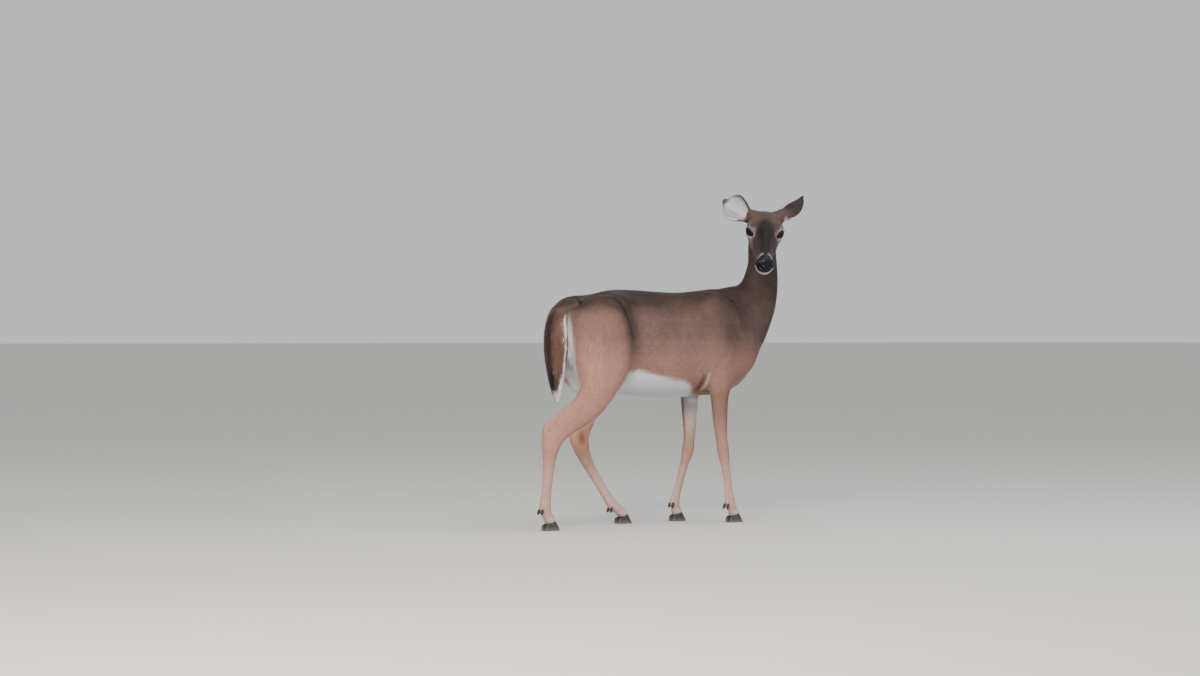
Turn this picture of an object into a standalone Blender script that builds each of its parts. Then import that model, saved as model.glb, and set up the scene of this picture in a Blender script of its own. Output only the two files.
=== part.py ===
"""White-tailed deer, a doe standing in mid-step and looking back over its right shoulder.

The animal faces +X with its left side toward +Y and its hooves on z = 0. The flesh is one
smooth distance field, below zero inside the coat: elliptical sections swept along the spine,
the neck, the limbs and the tail, with ellipsoids for the muscles. It is turned into closed
meshes, which thin cuts part into the head, neck, trunk, tail and legs. Eyes, nose pad, hooves
and dewclaws are solids of their own, set into pockets.
"""

import math

import bmesh
import bpy
import numpy as np
from mathutils import Matrix, Vector

GAP = 0.0003  # between touching solids
CENTRE = (0.0180, -0.0495, 0.0)  # middle of the model, taken off every point
UP = np.array((0.0, 0.0, 1.0))
LEFT = (0.0, 1.0, 0.0)
FAR = 1.0  # the field's value where no shape is near
MARGIN = 0.02  # how far past a shape its field is still worked out

HEAD_AT = np.array((0.375, -0.128, 0.989))  # midway between the eyes
HEAD_TURN = math.radians(-127.8)  # from +X, looking back past the right shoulder
HEAD_PITCH = math.radians(34)
HEAD_ROLL = math.radians(5.2)
EYE_AT = (0.002, 0.0465, 0.006)  # of the left eyeball, in the head's axes
EYE_RADIUS = 0.0175
EYE_YAW = math.radians(48)  # of the gaze, out from straight ahead
EYE_TILT = math.radians(5)
NOSE_AT = (0.1575, 0.0, -0.0210)
NOSE_RADII = (0.0155, 0.0300, 0.0215)

BODY_STEP = 0.0065  # grid of the body's field
HEAD_STEP = 0.003
BODY_TRIANGLES = 3900
HEAD_TRIANGLES = 1500
TAIL_TRIANGLES = 300

# Planes of the cuts: a point and the direction that belongs to the part nearer the nose
THROAT = ((0.3890, -0.0990, 0.9300), (0.492, 0.0, 0.871))  # direction in the head's own axes
NECK_BASE = ((0.335, 0.0, 0.815), (0.783, 0.0, 0.622))
CHIN = 0.835  # a height between the chin and the back
FLOOR = -0.02  # below the hooves
OUTSIDE = 0.25  # past the flanks
# Each leg's cut: back and front below the trunk, back and front beside it, its top, the height
# below which it is clear of the trunk, and its inner side
LEG_CUTS = {
    "fore_right": (0.10, 0.34, 0.155, 0.285, 0.475, 0.405, 0.050),
    "fore_left": (0.09, 0.34, 0.155, 0.285, 0.475, 0.405, 0.050),
    "hind_right": (-0.60, -0.15, -0.470, -0.190, 0.500, 0.400, 0.045),
    "hind_left": (-0.60, 0.00, -0.420, -0.105, 0.500, 0.410, 0.045),
}
EAR_CUT = 0.024  # distance along the ear from its root

COAT = (0.262, 0.171, 0.109)
BELLY = (0.62, 0.58, 0.53)
LEG_TAN = (0.365, 0.223, 0.132)
TAIL_BROWN = (0.22, 0.105, 0.048)
EAR_GREY = (0.23, 0.165, 0.125)
BLACK = (0.008, 0.007, 0.007)
HORN = (0.022, 0.017, 0.014)


# ---------------------------------------------------------------- distance field


def unit(vector):
    vector = np.asarray(vector, float)
    return vector / np.linalg.norm(vector)


def smooth_rows(rows, per_span):
    """Rows of numbers along a Catmull-Rom curve through the given rows."""
    p = np.asarray(rows, float)
    p = np.vstack([2 * p[0] - p[1], p, 2 * p[-1] - p[-2]])
    out = []
    for i in range(1, len(p) - 2):
        for t in np.arange(per_span) / per_span:
            out.append(
                0.5 * (2 * p[i] + (p[i + 1] - p[i - 1]) * t
                       + (2 * p[i - 1] - 5 * p[i] + 4 * p[i + 1] - p[i + 2]) * t * t
                       + (3 * p[i] - p[i - 1] - 3 * p[i + 1] + p[i + 2]) * t ** 3))
    return np.array(out + [p[-2]])


def ellipsoid_gap(offset, radii):
    """Distance from an ellipsoid's surface, close to true near it."""
    scaled = np.sqrt(((offset / radii) ** 2).sum(1)) + 1e-9
    steep = np.sqrt(((offset / radii ** 2) ** 2).sum(1)) + 1e-9
    return scaled * (scaled - 1) / steep


class Swept:
    """What a swept shape needs: smooth rows, directions along them, and a box round each span."""

    def __init__(self, rows, blend, reach):
        self.rows, self.blend, self.carve = rows, blend, False
        line = rows[:, :3]
        ahead = np.vstack([line[1] - line[0], line[2:] - line[:-2], line[-1] - line[-2]])
        self.ahead = ahead / np.linalg.norm(ahead, axis=1)[:, None]
        reach = reach[:, None] + blend + MARGIN
        low, high = line - reach, line + reach
        self.span_low = np.minimum(low[:-1], low[1:])
        self.span_high = np.maximum(high[:-1], high[1:])
        self.low, self.high = self.span_low.min(0), self.span_high.max(0)

    def distance(self, points):
        best = np.full(len(points), FAR)
        last = len(self.rows) - 2
        for i in range(last + 1):
            near = np.flatnonzero(((points >= self.span_low[i]) & (points <= self.span_high[i])).all(1))
            a, b = self.rows[i], self.rows[i + 1]
            past = (points[near] - a[:3]) @ self.ahead[i]
            short = (b[:3] - points[near]) @ self.ahead[i + 1]
            keep = ((past >= 0) | (i == 0)) & ((short >= 0) | (i == last))
            near, past, short = near[keep], past[keep], short[keep]
            if not len(near):
                continue
            t = np.clip(past / np.where(past + short == 0, 1, past + short), 0, 1)[:, None]
            ahead = self.ahead[i] + t * (self.ahead[i + 1] - self.ahead[i])
            ahead /= np.linalg.norm(ahead, axis=1)[:, None]
            row = a + t * (b - a)
            side = row[:, 6:9] - (row[:, 6:9] * ahead).sum(1)[:, None] * ahead
            side /= np.linalg.norm(side, axis=1)[:, None]
            offset = points[near] - row[:, :3]
            local = [(offset * axis).sum(1) for axis in (side, np.cross(ahead, side), ahead)]
            best[near] = np.minimum(best[near], self.section(row, *local))
        return best


class Tube(Swept):
    """Elliptical sections. A station is x, y, z, half width, half depth and, last, how much
    narrower the section is on its back than on its belly."""

    def __init__(self, stations, left=LEFT, blend=0.02, per_span=4):
        lefts = [left] * len(stations) if np.ndim(left[0]) == 0 else left
        rows = [(list(s) + [0.0])[:6] + list(unit(side)) for s, side in zip(stations, lefts)]
        rows = smooth_rows(rows, per_span)
        rows[:, 3:5] = np.maximum(rows[:, 3:5], 0.001)
        super().__init__(rows, blend, rows[:, 3:5].max(1) * 1.1)

    def section(self, row, u, v, w):
        half_width = row[:, 3] * (1 - row[:, 5] * np.clip(v / row[:, 4], -1, 1))
        cap = np.minimum(row[:, 3], row[:, 4])
        return ellipsoid_gap(np.stack([u, v, w], 1), np.stack([half_width, row[:, 4], cap], 1))


class Cup(Swept):
    """A sheet bent to an arc, open on one side, as an ear is. A row is the arc's centre, its
    radius, half angle and half thickness, and the way it opens."""

    def __init__(self, rows, blend=0.01):
        super().__init__(rows, blend, rows[:, 3] * 1.2)

    def section(self, row, wide, back, w):
        angle = np.clip(np.arctan2(back, -wide), -row[:, 4], row[:, 4])
        arc_wide, arc_back = -np.cos(angle) * row[:, 3], np.sin(angle) * row[:, 3]
        return np.sqrt((wide - arc_wide) ** 2 + (back - arc_back) ** 2 + w ** 2) - row[:, 5]


class Lump:
    """An ellipsoid: its centre, three radii and the directions of the first two."""

    def __init__(self, centre, radii, ahead=(1, 0, 0), left=LEFT, blend=0.02, carve=False):
        self.centre, self.radii = np.asarray(centre, float), np.asarray(radii, float)
        ahead = unit(ahead)
        left = unit(np.asarray(left, float) - (np.asarray(left, float) @ ahead) * ahead)
        self.axes = np.stack([ahead, left, np.cross(ahead, left)], 1)
        self.blend, self.carve = blend, carve
        reach = np.sqrt((self.axes ** 2) @ (self.radii ** 2)) + 2 * blend + MARGIN
        self.low, self.high = self.centre - reach, self.centre + reach

    def distance(self, points):
        return ellipsoid_gap((points - self.centre) @ self.axes, self.radii)


def blended(a, b, radius):
    """The lesser of two distances, with a fillet of this radius between them."""
    h = np.clip(0.5 + 0.5 * (b - a) / radius, 0, 1)
    return a * h + b * (1 - h) - radius * h * (1 - h)


def field(shapes, points):
    value = np.full(len(points), FAR)
    low, high = points.min(0), points.max(0)
    for shape in shapes:
        if (low > shape.high).any() or (high < shape.low).any():
            continue
        near = ((points >= shape.low) & (points <= shape.high)).all(1)
        if not near.any():
            continue
        d = shape.distance(points[near])
        if shape.carve:
            value[near] = -blended(-value[near], d, shape.blend)
        else:
            value[near] = blended(value[near], d, shape.blend)
    return value


# ---------------------------------------------------------------- anatomy


def head_axes():
    """Rows: ahead to the nose, left, and up, in the animal's axes."""
    ahead = np.array((math.cos(HEAD_TURN) * math.cos(HEAD_PITCH), math.sin(HEAD_TURN) * math.cos(HEAD_PITCH),
                      -math.sin(HEAD_PITCH)))
    left = unit(np.cross(UP, ahead))
    up = np.cross(ahead, left)
    c, s = math.cos(HEAD_ROLL), math.sin(HEAD_ROLL)
    return np.stack([ahead, left * c - up * s, up * c + left * s])


HEAD = head_axes()


def on_head(x, y, z):
    return HEAD_AT + np.array((x, y, z)) @ HEAD


def head_lump(at, radii, ahead=(1, 0, 0), blend=0.02):
    return Lump(on_head(*at), radii, np.array(ahead) @ HEAD, HEAD[1], blend)


def eye_axes(side):
    """Centre of an eyeball, then out along its gaze, toward the nose, and up."""
    out = np.array((math.cos(EYE_YAW) * math.cos(EYE_TILT), side * math.sin(EYE_YAW) * math.cos(EYE_TILT),
                    math.sin(EYE_TILT)))
    nose = np.array((math.sin(EYE_YAW), -side * math.cos(EYE_YAW), -0.18))
    nose = unit(nose - (nose @ out) * out)
    up = np.cross(out, nose) * -side
    return on_head(EYE_AT[0], side * EYE_AT[1], EYE_AT[2]), out @ HEAD, nose @ HEAD, up @ HEAD


def trunk_shapes():
    rows = [  # x, top, bottom, half width, narrowing toward the back
        (-0.385, 0.735, 0.620, 0.030, 0.00),
        (-0.360, 0.752, 0.560, 0.070, 0.10),
        (-0.300, 0.776, 0.500, 0.100, 0.12),
        (-0.220, 0.793, 0.455, 0.112, 0.12),
        (-0.120, 0.795, 0.436, 0.118, 0.12),
        (-0.020, 0.790, 0.427, 0.125, 0.14),
        (0.080, 0.787, 0.427, 0.126, 0.16),
        (0.180, 0.792, 0.434, 0.116, 0.22),
        (0.260, 0.797, 0.452, 0.098, 0.28),
        (0.330, 0.790, 0.485, 0.078, 0.22),
        (0.380, 0.760, 0.530, 0.060, 0.10),
        (0.410, 0.720, 0.590, 0.040, 0.00),
    ]
    shapes = [Tube([(x, 0, (t + b) / 2, w, (t - b) / 2, k) for x, t, b, w, k in rows], blend=0.03),
              Lump((0.285, 0, 0.530), (0.115, 0.050, 0.075), (1, 0, 0.35), blend=0.05)]  # brisket
    for s in (-1, 1):
        haunch = Lump((-0.280, s * 0.068, 0.660), (0.108, 0.055, 0.115), (1, 0, 0.1), (0, 1, -0.15 * s), 0.05)
        # the right limb is stretched back and the left one drawn forward under the belly
        lean = (0.0, 0, -1) if s < 0 else (0.38, 0, -0.92)
        forward = 0.0 if s < 0 else 0.028
        thigh = Lump((-0.262 + forward, s * 0.088, 0.582), (0.150, 0.044, 0.092), lean, blend=0.035)
        buttock = Lump((-0.335 + forward, s * 0.078, 0.580), (0.148, 0.048, 0.055), lean, blend=0.035)
        hip_bone = Lump((-0.205, s * 0.060, 0.738), (0.040, 0.020, 0.024), (1, 0, 0.1), blend=0.06)
        pin_bone = Lump((-0.362, s * 0.050, 0.690), (0.026, 0.022, 0.035), blend=0.035)
        blade = Lump((0.262, s * 0.056, 0.680), (0.115, 0.028, 0.062), (0.5, 0, -0.86),
                     (0, 1, -0.3 * s), 0.06)
        arm = Lump((0.302, s * 0.074, 0.565), (0.085, 0.032, 0.058), (0.80, 0, 0.60), blend=0.05)
        triceps = Lump((0.235, s * 0.078, 0.560), (0.050, 0.034, 0.095), (1, 0, 0.2), blend=0.05)
        neck_root = Lump((0.345, s * 0.030, 0.700), (0.110, 0.044, 0.080), (0.55, 0, 0.83), blend=0.05)
        shapes += [haunch, thigh, buttock, hip_bone, pin_bone, blade, arm, triceps, neck_root]
    return shapes


def neck_shapes():
    turn = [math.radians(a) for a in (0, 0, 2, 10, 24, 44, 70, 100, 120)]
    rows = [
        (0.330, 0.000, 0.585, 0.055, 0.070),
        (0.371, -0.003, 0.635, 0.066, 0.078),
        (0.404, -0.009, 0.690, 0.065, 0.078),
        (0.430, -0.017, 0.745, 0.060, 0.070),
        (0.444, -0.027, 0.805, 0.054, 0.058),
        (0.441, -0.036, 0.860, 0.050, 0.053),
        (0.431, -0.045, 0.915, 0.047, 0.052),
        (0.425, -0.052, 0.970, 0.046, 0.054),
        (0.428, -0.055, 1.015, 0.042, 0.046),
    ]
    nape = [(0.240, 0, 0.758, 0.030, 0.030), (0.320, 0, 0.765, 0.036, 0.036),
            (0.388, -0.013, 0.785, 0.036, 0.036), (0.418, -0.023, 0.850, 0.030, 0.030)]
    return [Tube(rows, [(math.sin(a), math.cos(a), 0) for a in turn], blend=0.035), Tube(nape, blend=0.03)]


# Limb stations from the top down: x, distance from the middle plane, z, half width, half depth
FORE_RIGHT = [
    (0.262, 0.074, 0.585, 0.030, 0.060),
    (0.222, 0.083, 0.510, 0.034, 0.054),
    (0.211, 0.087, 0.460, 0.029, 0.042),
    (0.209, 0.088, 0.410, 0.025, 0.0345),
    (0.211, 0.088, 0.360, 0.0225, 0.0300),
    (0.2155, 0.087, 0.312, 0.0190, 0.0250),
    (0.2215, 0.086, 0.276, 0.0180, 0.0215),
    (0.2265, 0.085, 0.250, 0.0195, 0.0225),
    (0.2320, 0.085, 0.222, 0.0170, 0.0200),
    (0.2385, 0.085, 0.190, 0.0128, 0.0165),
    (0.2460, 0.085, 0.145, 0.0120, 0.0155),
    (0.2525, 0.085, 0.100, 0.0125, 0.0160),
    (0.2570, 0.085, 0.070, 0.0165, 0.0190),
    (0.2650, 0.084, 0.050, 0.0160, 0.0170),
    (0.2740, 0.083, 0.034, 0.0195, 0.0185),
]
FORE_LEFT = [
    (0.262, 0.074, 0.585, 0.030, 0.060),
    (0.225, 0.083, 0.510, 0.034, 0.054),
    (0.217, 0.087, 0.460, 0.029, 0.042),
    (0.216, 0.088, 0.410, 0.025, 0.0345),
    (0.216, 0.088, 0.360, 0.0225, 0.0290),
    (0.2150, 0.087, 0.312, 0.0190, 0.0235),
    (0.2120, 0.086, 0.276, 0.0180, 0.0210),
    (0.2080, 0.085, 0.250, 0.0195, 0.0225),
    (0.2000, 0.085, 0.222, 0.0170, 0.0200),
    (0.1890, 0.085, 0.190, 0.0128, 0.0160),
    (0.1745, 0.085, 0.145, 0.0120, 0.0150),
    (0.1585, 0.085, 0.098, 0.0125, 0.0155),
    (0.1490, 0.085, 0.070, 0.0165, 0.0190),
    (0.1500, 0.084, 0.050, 0.0160, 0.0170),
    (0.1560, 0.083, 0.034, 0.0195, 0.0185),
]
HIND_RIGHT = [
    (-0.290, 0.085, 0.620, 0.045, 0.090),
    (-0.295, 0.098, 0.540, 0.045, 0.092),
    (-0.310, 0.108, 0.480, 0.040, 0.075),
    (-0.345, 0.110, 0.425, 0.034, 0.060),
    (-0.395, 0.108, 0.380, 0.027, 0.048),
    (-0.450, 0.104, 0.345, 0.021, 0.041),
    (-0.485, 0.101, 0.312, 0.0210, 0.0400),
    (-0.499, 0.098, 0.278, 0.0215, 0.0345),
    (-0.502, 0.095, 0.245, 0.0180, 0.0270),
    (-0.505, 0.092, 0.205, 0.0145, 0.0220),
    (-0.508, 0.090, 0.155, 0.0130, 0.0190),
    (-0.512, 0.088, 0.110, 0.0140, 0.0190),
    (-0.515, 0.087, 0.078, 0.0175, 0.0215),
    (-0.507, 0.086, 0.053, 0.0165, 0.0180),
    (-0.495, 0.085, 0.035, 0.0200, 0.0190),
]
HIND_LEFT = [
    (-0.270, 0.085, 0.640, 0.045, 0.085),
    (-0.215, 0.098, 0.580, 0.045, 0.082),
    (-0.175, 0.108, 0.525, 0.040, 0.068),
    (-0.165, 0.110, 0.470, 0.034, 0.055),
    (-0.188, 0.106, 0.415, 0.027, 0.046),
    (-0.222, 0.100, 0.355, 0.022, 0.040),
    (-0.246, 0.095, 0.312, 0.0210, 0.0400),
    (-0.246, 0.092, 0.275, 0.0215, 0.0345),
    (-0.234, 0.090, 0.240, 0.0180, 0.0270),
    (-0.213, 0.088, 0.200, 0.0145, 0.0210),
    (-0.180, 0.085, 0.150, 0.0130, 0.0180),
    (-0.145, 0.083, 0.100, 0.0140, 0.0180),
    (-0.122, 0.082, 0.070, 0.0175, 0.0205),
    (-0.098, 0.082, 0.050, 0.0165, 0.0180),
    (-0.077, 0.082, 0.035, 0.0200, 0.0185),
]
# The tendon down to the point of the hock
HEEL_RIGHT = [(-0.430, 0.109, 0.405, 0.010, 0.014), (-0.485, 0.106, 0.368, 0.009, 0.012),
              (-0.521, 0.103, 0.337, 0.012, 0.013), (-0.520, 0.101, 0.305, 0.012, 0.013),
              (-0.514, 0.097, 0.265, 0.010, 0.012)]
HEEL_LEFT = [(-0.236, 0.106, 0.415, 0.010, 0.014), (-0.262, 0.103, 0.370, 0.009, 0.012),
             (-0.281, 0.100, 0.330, 0.012, 0.013), (-0.272, 0.097, 0.300, 0.012, 0.013),
             (-0.252, 0.092, 0.262, 0.010, 0.012)]
# Each foot: name, side, stations, coronet centre, and where the dewclaws sit behind the fetlock
FEET = {
    "fore_right": (-1, FORE_RIGHT, (0.2760, -0.083), (0.2415, 0.056)),
    "fore_left": (1, FORE_LEFT, (0.1580, 0.083), (0.1325, 0.056)),
    "hind_right": (-1, HIND_RIGHT, (-0.4925, -0.085), (-0.5325, 0.062)),
    "hind_left": (1, HIND_LEFT, (-0.0750, 0.082), (-0.1300, 0.048)),
}


def leg_shapes():
    shapes = []
    for side, stations, _, _ in FEET.values():
        shapes.append(Tube([(x, side * y, z, w, d) for x, y, z, w, d in stations], blend=0.022, per_span=5))
    for side, stations in ((-1, HEEL_RIGHT), (1, HEEL_LEFT)):
        shapes.append(Tube([(x, side * y, z, w, d) for x, y, z, w, d in stations], blend=0.012))
    return shapes


def tail_shapes():
    rows = [
        (-0.340, 0, 0.742, 0.030, 0.026),
        (-0.388, 0, 0.722, 0.032, 0.026),
        (-0.407, 0, 0.690, 0.047, 0.028),
        (-0.412, 0, 0.645, 0.057, 0.031),
        (-0.413, 0, 0.595, 0.057, 0.030),
        (-0.412, 0, 0.545, 0.050, 0.027),
        (-0.409, 0, 0.495, 0.040, 0.022),
        (-0.406, 0, 0.450, 0.027, 0.016),
        (-0.404, 0, 0.417, 0.010, 0.007),
    ]
    return [Tube(rows, (0, -1, 0), blend=0.02)]


def head_shapes():
    rows = [  # ahead of the eyes, top, bottom, half width, narrowing toward the top
        (-0.118, 0.008, -0.045, 0.028, 0.00),
        (-0.100, 0.022, -0.060, 0.037, 0.00),
        (-0.075, 0.036, -0.070, 0.043, 0.00),
        (-0.040, 0.047, -0.073, 0.046, 0.00),
        (0.000, 0.045, -0.072, 0.045, -0.02),
        (0.030, 0.035, -0.069, 0.041, 0.00),
        (0.060, 0.023, -0.065, 0.0355, 0.10),
        (0.094, 0.012, -0.063, 0.0305, 0.15),
        (0.126, 0.003, -0.065, 0.0290, 0.10),
        (0.148, -0.004, -0.066, 0.0300, 0.05),
        (0.160, -0.014, -0.056, 0.0250, 0.00),
    ]
    skull = [list(on_head(x, 0, (t + b) / 2)) + [w, (t - b) / 2, k] for x, t, b, w, k in rows]
    bridge = [(0.020, 0, 0.026, 0.018, 0.012), (0.070, 0, 0.009, 0.015, 0.011),
              (0.118, 0, -0.004, 0.014, 0.010), (0.152, 0, -0.013, 0.015, 0.011)]
    bridge = [list(on_head(*b[:3])) + list(b[3:]) for b in bridge]
    shapes = [Tube(skull, HEAD[1], blend=0.025), Tube(bridge, HEAD[1], blend=0.014),
              head_lump((-0.040, 0, 0.026), (0.050, 0.047, 0.020), blend=0.018),  # forehead
              head_lump((0.130, 0, -0.062), (0.028, 0.020, 0.014), (1, 0, 0.1), blend=0.018)]  # chin
    for s in (-1, 1):
        brow = head_lump((-0.006, s * 0.041, 0.023), (0.032, 0.020, 0.011), (1, -0.10 * s, 0), blend=0.016)
        orbit = head_lump((-0.020, s * 0.052, 0.006), (0.014, 0.011, 0.020), blend=0.014)
        cheekbone = head_lump((0.004, s * 0.046, -0.014), (0.034, 0.013, 0.011), (1, -0.3 * s, -0.15), 0.016)
        jaw = head_lump((-0.022, s * 0.035, -0.034), (0.050, 0.020, 0.034), (1, -0.1 * s, -0.25), blend=0.018)
        face = head_lump((0.045, s * 0.028, -0.020), (0.045, 0.014, 0.026), (1, -0.22 * s, -0.25), 0.018)
        nostril = head_lump((0.156, s * 0.021, -0.022), (0.016, 0.0150, 0.016), blend=0.008)
        lip = head_lump((0.134, s * 0.017, -0.042), (0.030, 0.013, 0.015), (1, 0, 0.05), blend=0.010)
        ear_root = head_lump((-0.074, s * 0.044, 0.017), (0.030, 0.024, 0.024), blend=0.024)
        centre, out, nose, _ = eye_axes(s)
        socket = centre + out * EYE_RADIUS * 0.95
        opening = Lump(socket, (0.012, 0.0162, 0.0115), out, nose, 0.004, carve=True)
        shapes += [brow, orbit, cheekbone, jaw, face, nostril, lip, ear_root, opening]
    return shapes


# Each ear: side, where its tip lies from its root, and where its opening faces
EARS = {
    "ear_right": (-1, (-0.0380, 0.1150, 0.0680), (-0.66, -0.72, 0.02)),
    "ear_left": (1, (0.1370, 0.0124, 0.0630), (0.90, -0.04, -0.35)),
}

EAR_ROOTS = {-1: (-0.078, -0.050, 0.010), 1: (-0.078, 0.041, 0.023)}  # on the head; the left ear is lifted


def ear_axis(side, reach):
    return on_head(*EAR_ROOTS[side]), unit(reach), np.linalg.norm(reach)


EAR_PROFILE = [  # share of the length, arc radius, half angle in degrees, half thickness
    (-0.040, 0.0160, 150, 0.0050),
    (0.120, 0.0250, 118, 0.0048),
    (0.280, 0.0380, 99, 0.0040),
    (0.460, 0.0450, 82, 0.0036),
    (0.620, 0.0440, 69, 0.0033),
    (0.770, 0.0400, 53, 0.0031),
    (0.880, 0.0350, 36, 0.0030),
    (0.955, 0.0310, 19, 0.0029),
    (1.000, 0.0300, 6, 0.0028),
]


def ear_rows(name, per_span):
    """Rows along an ear: the arc's centre, radius, half angle and half thickness, and the way it opens."""
    side, reach, opening = EARS[name]
    root, ahead, length = ear_axis(side, reach)
    opening = np.asarray(opening, float)
    opening = unit(opening - (opening @ ahead) * ahead)
    rows = [list(root + ahead * length * share + opening * (radius - 0.014)) + [radius, math.radians(a), half]
            + list(opening) for share, radius, a, half in EAR_PROFILE]
    return smooth_rows(rows, per_span)


# ---------------------------------------------------------------- meshes


def grid_values(shapes, low, high, step, block=12):
    """The field on a grid. Blocks far from the surface take their middle's value."""
    size = (np.ceil((np.asarray(high) - low) / step / block) * block).astype(int)
    values = np.full(size, FAR)
    cell = np.stack(np.meshgrid(*[np.arange(block)] * 3, indexing="ij"), -1).reshape(-1, 3)
    half = block * step / 2
    for start in np.ndindex(*(size // block)):
        start = np.array(start) * block
        middle = low + start * step + half
        if not any((s.low < middle + half).all() and (s.high > middle - half).all() for s in shapes):
            continue
        here = tuple(slice(i, i + block) for i in start)
        value = field(shapes, middle[None])[0]
        if value < FAR and abs(value) > 1.8 * half + 0.03:
            values[here] = value
        else:
            values[here] = field(shapes, low + (start + cell) * step).reshape([block] * 3)
    return values


def untangled(values):
    """The grid with no cell face whose corners change sign twice, where a net would touch itself."""
    flat = values.ravel()
    strides = [values.shape[1] * values.shape[2], values.shape[2], 1]
    for _ in range(20):
        inside = values < 0
        found = []
        for a, b in ((0, 1), (1, 2), (0, 2)):
            parts = [[slice(0, m - (i in (a, b))) for i, m in enumerate(values.shape)] for _ in range(4)]
            parts[1][a] = parts[3][a] = slice(1, None)
            parts[2][b] = parts[3][b] = slice(1, None)
            s00, s10, s01, s11 = (inside[tuple(p)] for p in parts)
            at = np.argwhere((s00 == s11) & (s10 == s01) & (s00 != s10)) @ strides
            found.append(at[:, None] + np.array((0, strides[a], strides[b], strides[a] + strides[b])))
        faces = np.concatenate(found)
        if not len(faces):
            return values
        weakest = faces[np.arange(len(faces)), np.abs(flat[faces]).argmin(1)]
        flat[weakest] = np.where(flat[weakest] < 0, 1e-5, -1e-5)
    raise RuntimeError("the grid stays tangled")


def surface_net(values, low, step):
    """One vertex in each cell that the zero surface crosses, and quads between neighbours."""
    inside = values < 0
    n = values.shape
    corners = list(np.ndindex(2, 2, 2))
    count = sum(inside[a:n[0] - 1 + a, b:n[1] - 1 + b, c:n[2] - 1 + c].astype(int) for a, b, c in corners)
    cells = np.argwhere((count > 0) & (count < 8))
    number = np.full(count.shape, -1)
    number[tuple(cells.T)] = np.arange(len(cells))
    at_corner = {o: values[tuple((cells + o).T)] for o in corners}
    total, hits = np.zeros((len(cells), 3)), np.zeros(len(cells))
    for o in corners:
        for axis in range(3):
            if o[axis]:
                continue
            end = tuple(1 if i == axis else o[i] for i in range(3))
            va, vb = at_corner[o], at_corner[end]
            crossing = (va < 0) != (vb < 0)
            at = np.tile(np.array(o, float), (len(cells), 1))
            at[:, axis] += np.where(crossing, va / np.where(va == vb, 1, va - vb), 0)
            total += at * crossing[:, None]
            hits += crossing
    quads = []
    for axis in range(3):
        first, second = np.eye(3, dtype=int)[(axis + 1) % 3], np.eye(3, dtype=int)[(axis + 2) % 3]
        near = [slice(0, m - (i == axis)) for i, m in enumerate(n)]
        far = [slice(int(i == axis), m) for i, m in enumerate(n)]
        edges = np.argwhere(inside[tuple(near)] != inside[tuple(far)])
        edges = edges[((edges > 0) & (edges < np.array(n) - 1))[:, [(axis + 1) % 3, (axis + 2) % 3]].all(1)]
        ring = np.stack([number[tuple((edges - d).T)] for d in (first + second, second, 0 * first, first)], 1)
        outward = ~inside[tuple(edges.T)]
        ring[outward] = ring[outward][:, ::-1]
        quads.append(ring)
    return low + (cells + total / hits[:, None]) * step, np.concatenate(quads)


def solid(name, shapes, step, triangles, keep=None):
    """A closed mesh of the shapes' surface, thinned to about this many triangles. Above the
    lowest part of the head, what lies past the keep plane is left out."""
    low = np.min([s.low for s in shapes], 0)
    high = np.max([s.high for s in shapes], 0)
    values = grid_values(shapes, low, high, step)
    if keep:
        at = np.stack(np.meshgrid(*[np.arange(m) for m in values.shape], indexing="ij"), -1) * step + low
        values = np.where(at[..., 2] > CHIN, np.maximum(values, (at - keep[0]) @ np.asarray(keep[1])), values)
    verts, quads = surface_net(untangled(values), low, step)
    mesh = bpy.data.meshes.new(name)
    mesh.from_pydata((verts - CENTRE).tolist(), [], quads.tolist())
    obj = place(name, mesh)
    thin = obj.modifiers.new("thin", "DECIMATE")
    thin.ratio = triangles / (2 * len(quads))
    thin.use_collapse_triangulate = True
    return settled(obj)


def place(name, mesh):
    obj = bpy.data.objects.new(name, mesh)
    bpy.context.scene.collection.objects.link(obj)
    return obj


def built(name, bm):
    """An object of the mesh, its faces turned outward."""
    bm.normal_update()
    bmesh.ops.recalc_face_normals(bm, faces=bm.faces)
    mesh = bpy.data.meshes.new(name)
    bm.to_mesh(mesh)
    bm.free()
    return place(name, mesh)


def settled(obj):
    """The object with its modifiers applied."""
    mesh = bpy.data.meshes.new_from_object(obj.evaluated_get(bpy.context.evaluated_depsgraph_get()))
    obj.modifiers.clear()
    obj.data = mesh
    return obj


def copied(obj, name):
    return place(name, obj.data.copy())


def grown(obj, by=GAP):
    """A cutter: the object's surface moved outward."""
    cutter = copied(obj, obj.name + "_pocket")
    bm = bmesh.new()
    bm.from_mesh(cutter.data)
    bm.normal_update()
    for vert in bm.verts:
        vert.co += vert.normal * by * vert.calc_shell_factor()
    bm.to_mesh(cutter.data)
    bm.free()
    return as_cutter(cutter)


def as_cutter(obj):
    obj.hide_render = True
    obj.display_type = "WIRE"
    return obj


def prism_cutter(name, outline, near, far):
    """A block with this outline in x and z, from one y to another."""
    bm = bmesh.new()
    ends = [[bm.verts.new(Vector((x, y, z)) - Vector(CENTRE)) for x, z in outline] for y in (near, far)]
    bm.faces.new(ends[0])
    bm.faces.new(ends[1])
    for i in range(len(outline)):
        j = (i + 1) % len(outline)
        bm.faces.new((ends[0][i], ends[0][j], ends[1][j], ends[1][i]))
    return as_cutter(built(name, bm))


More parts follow.
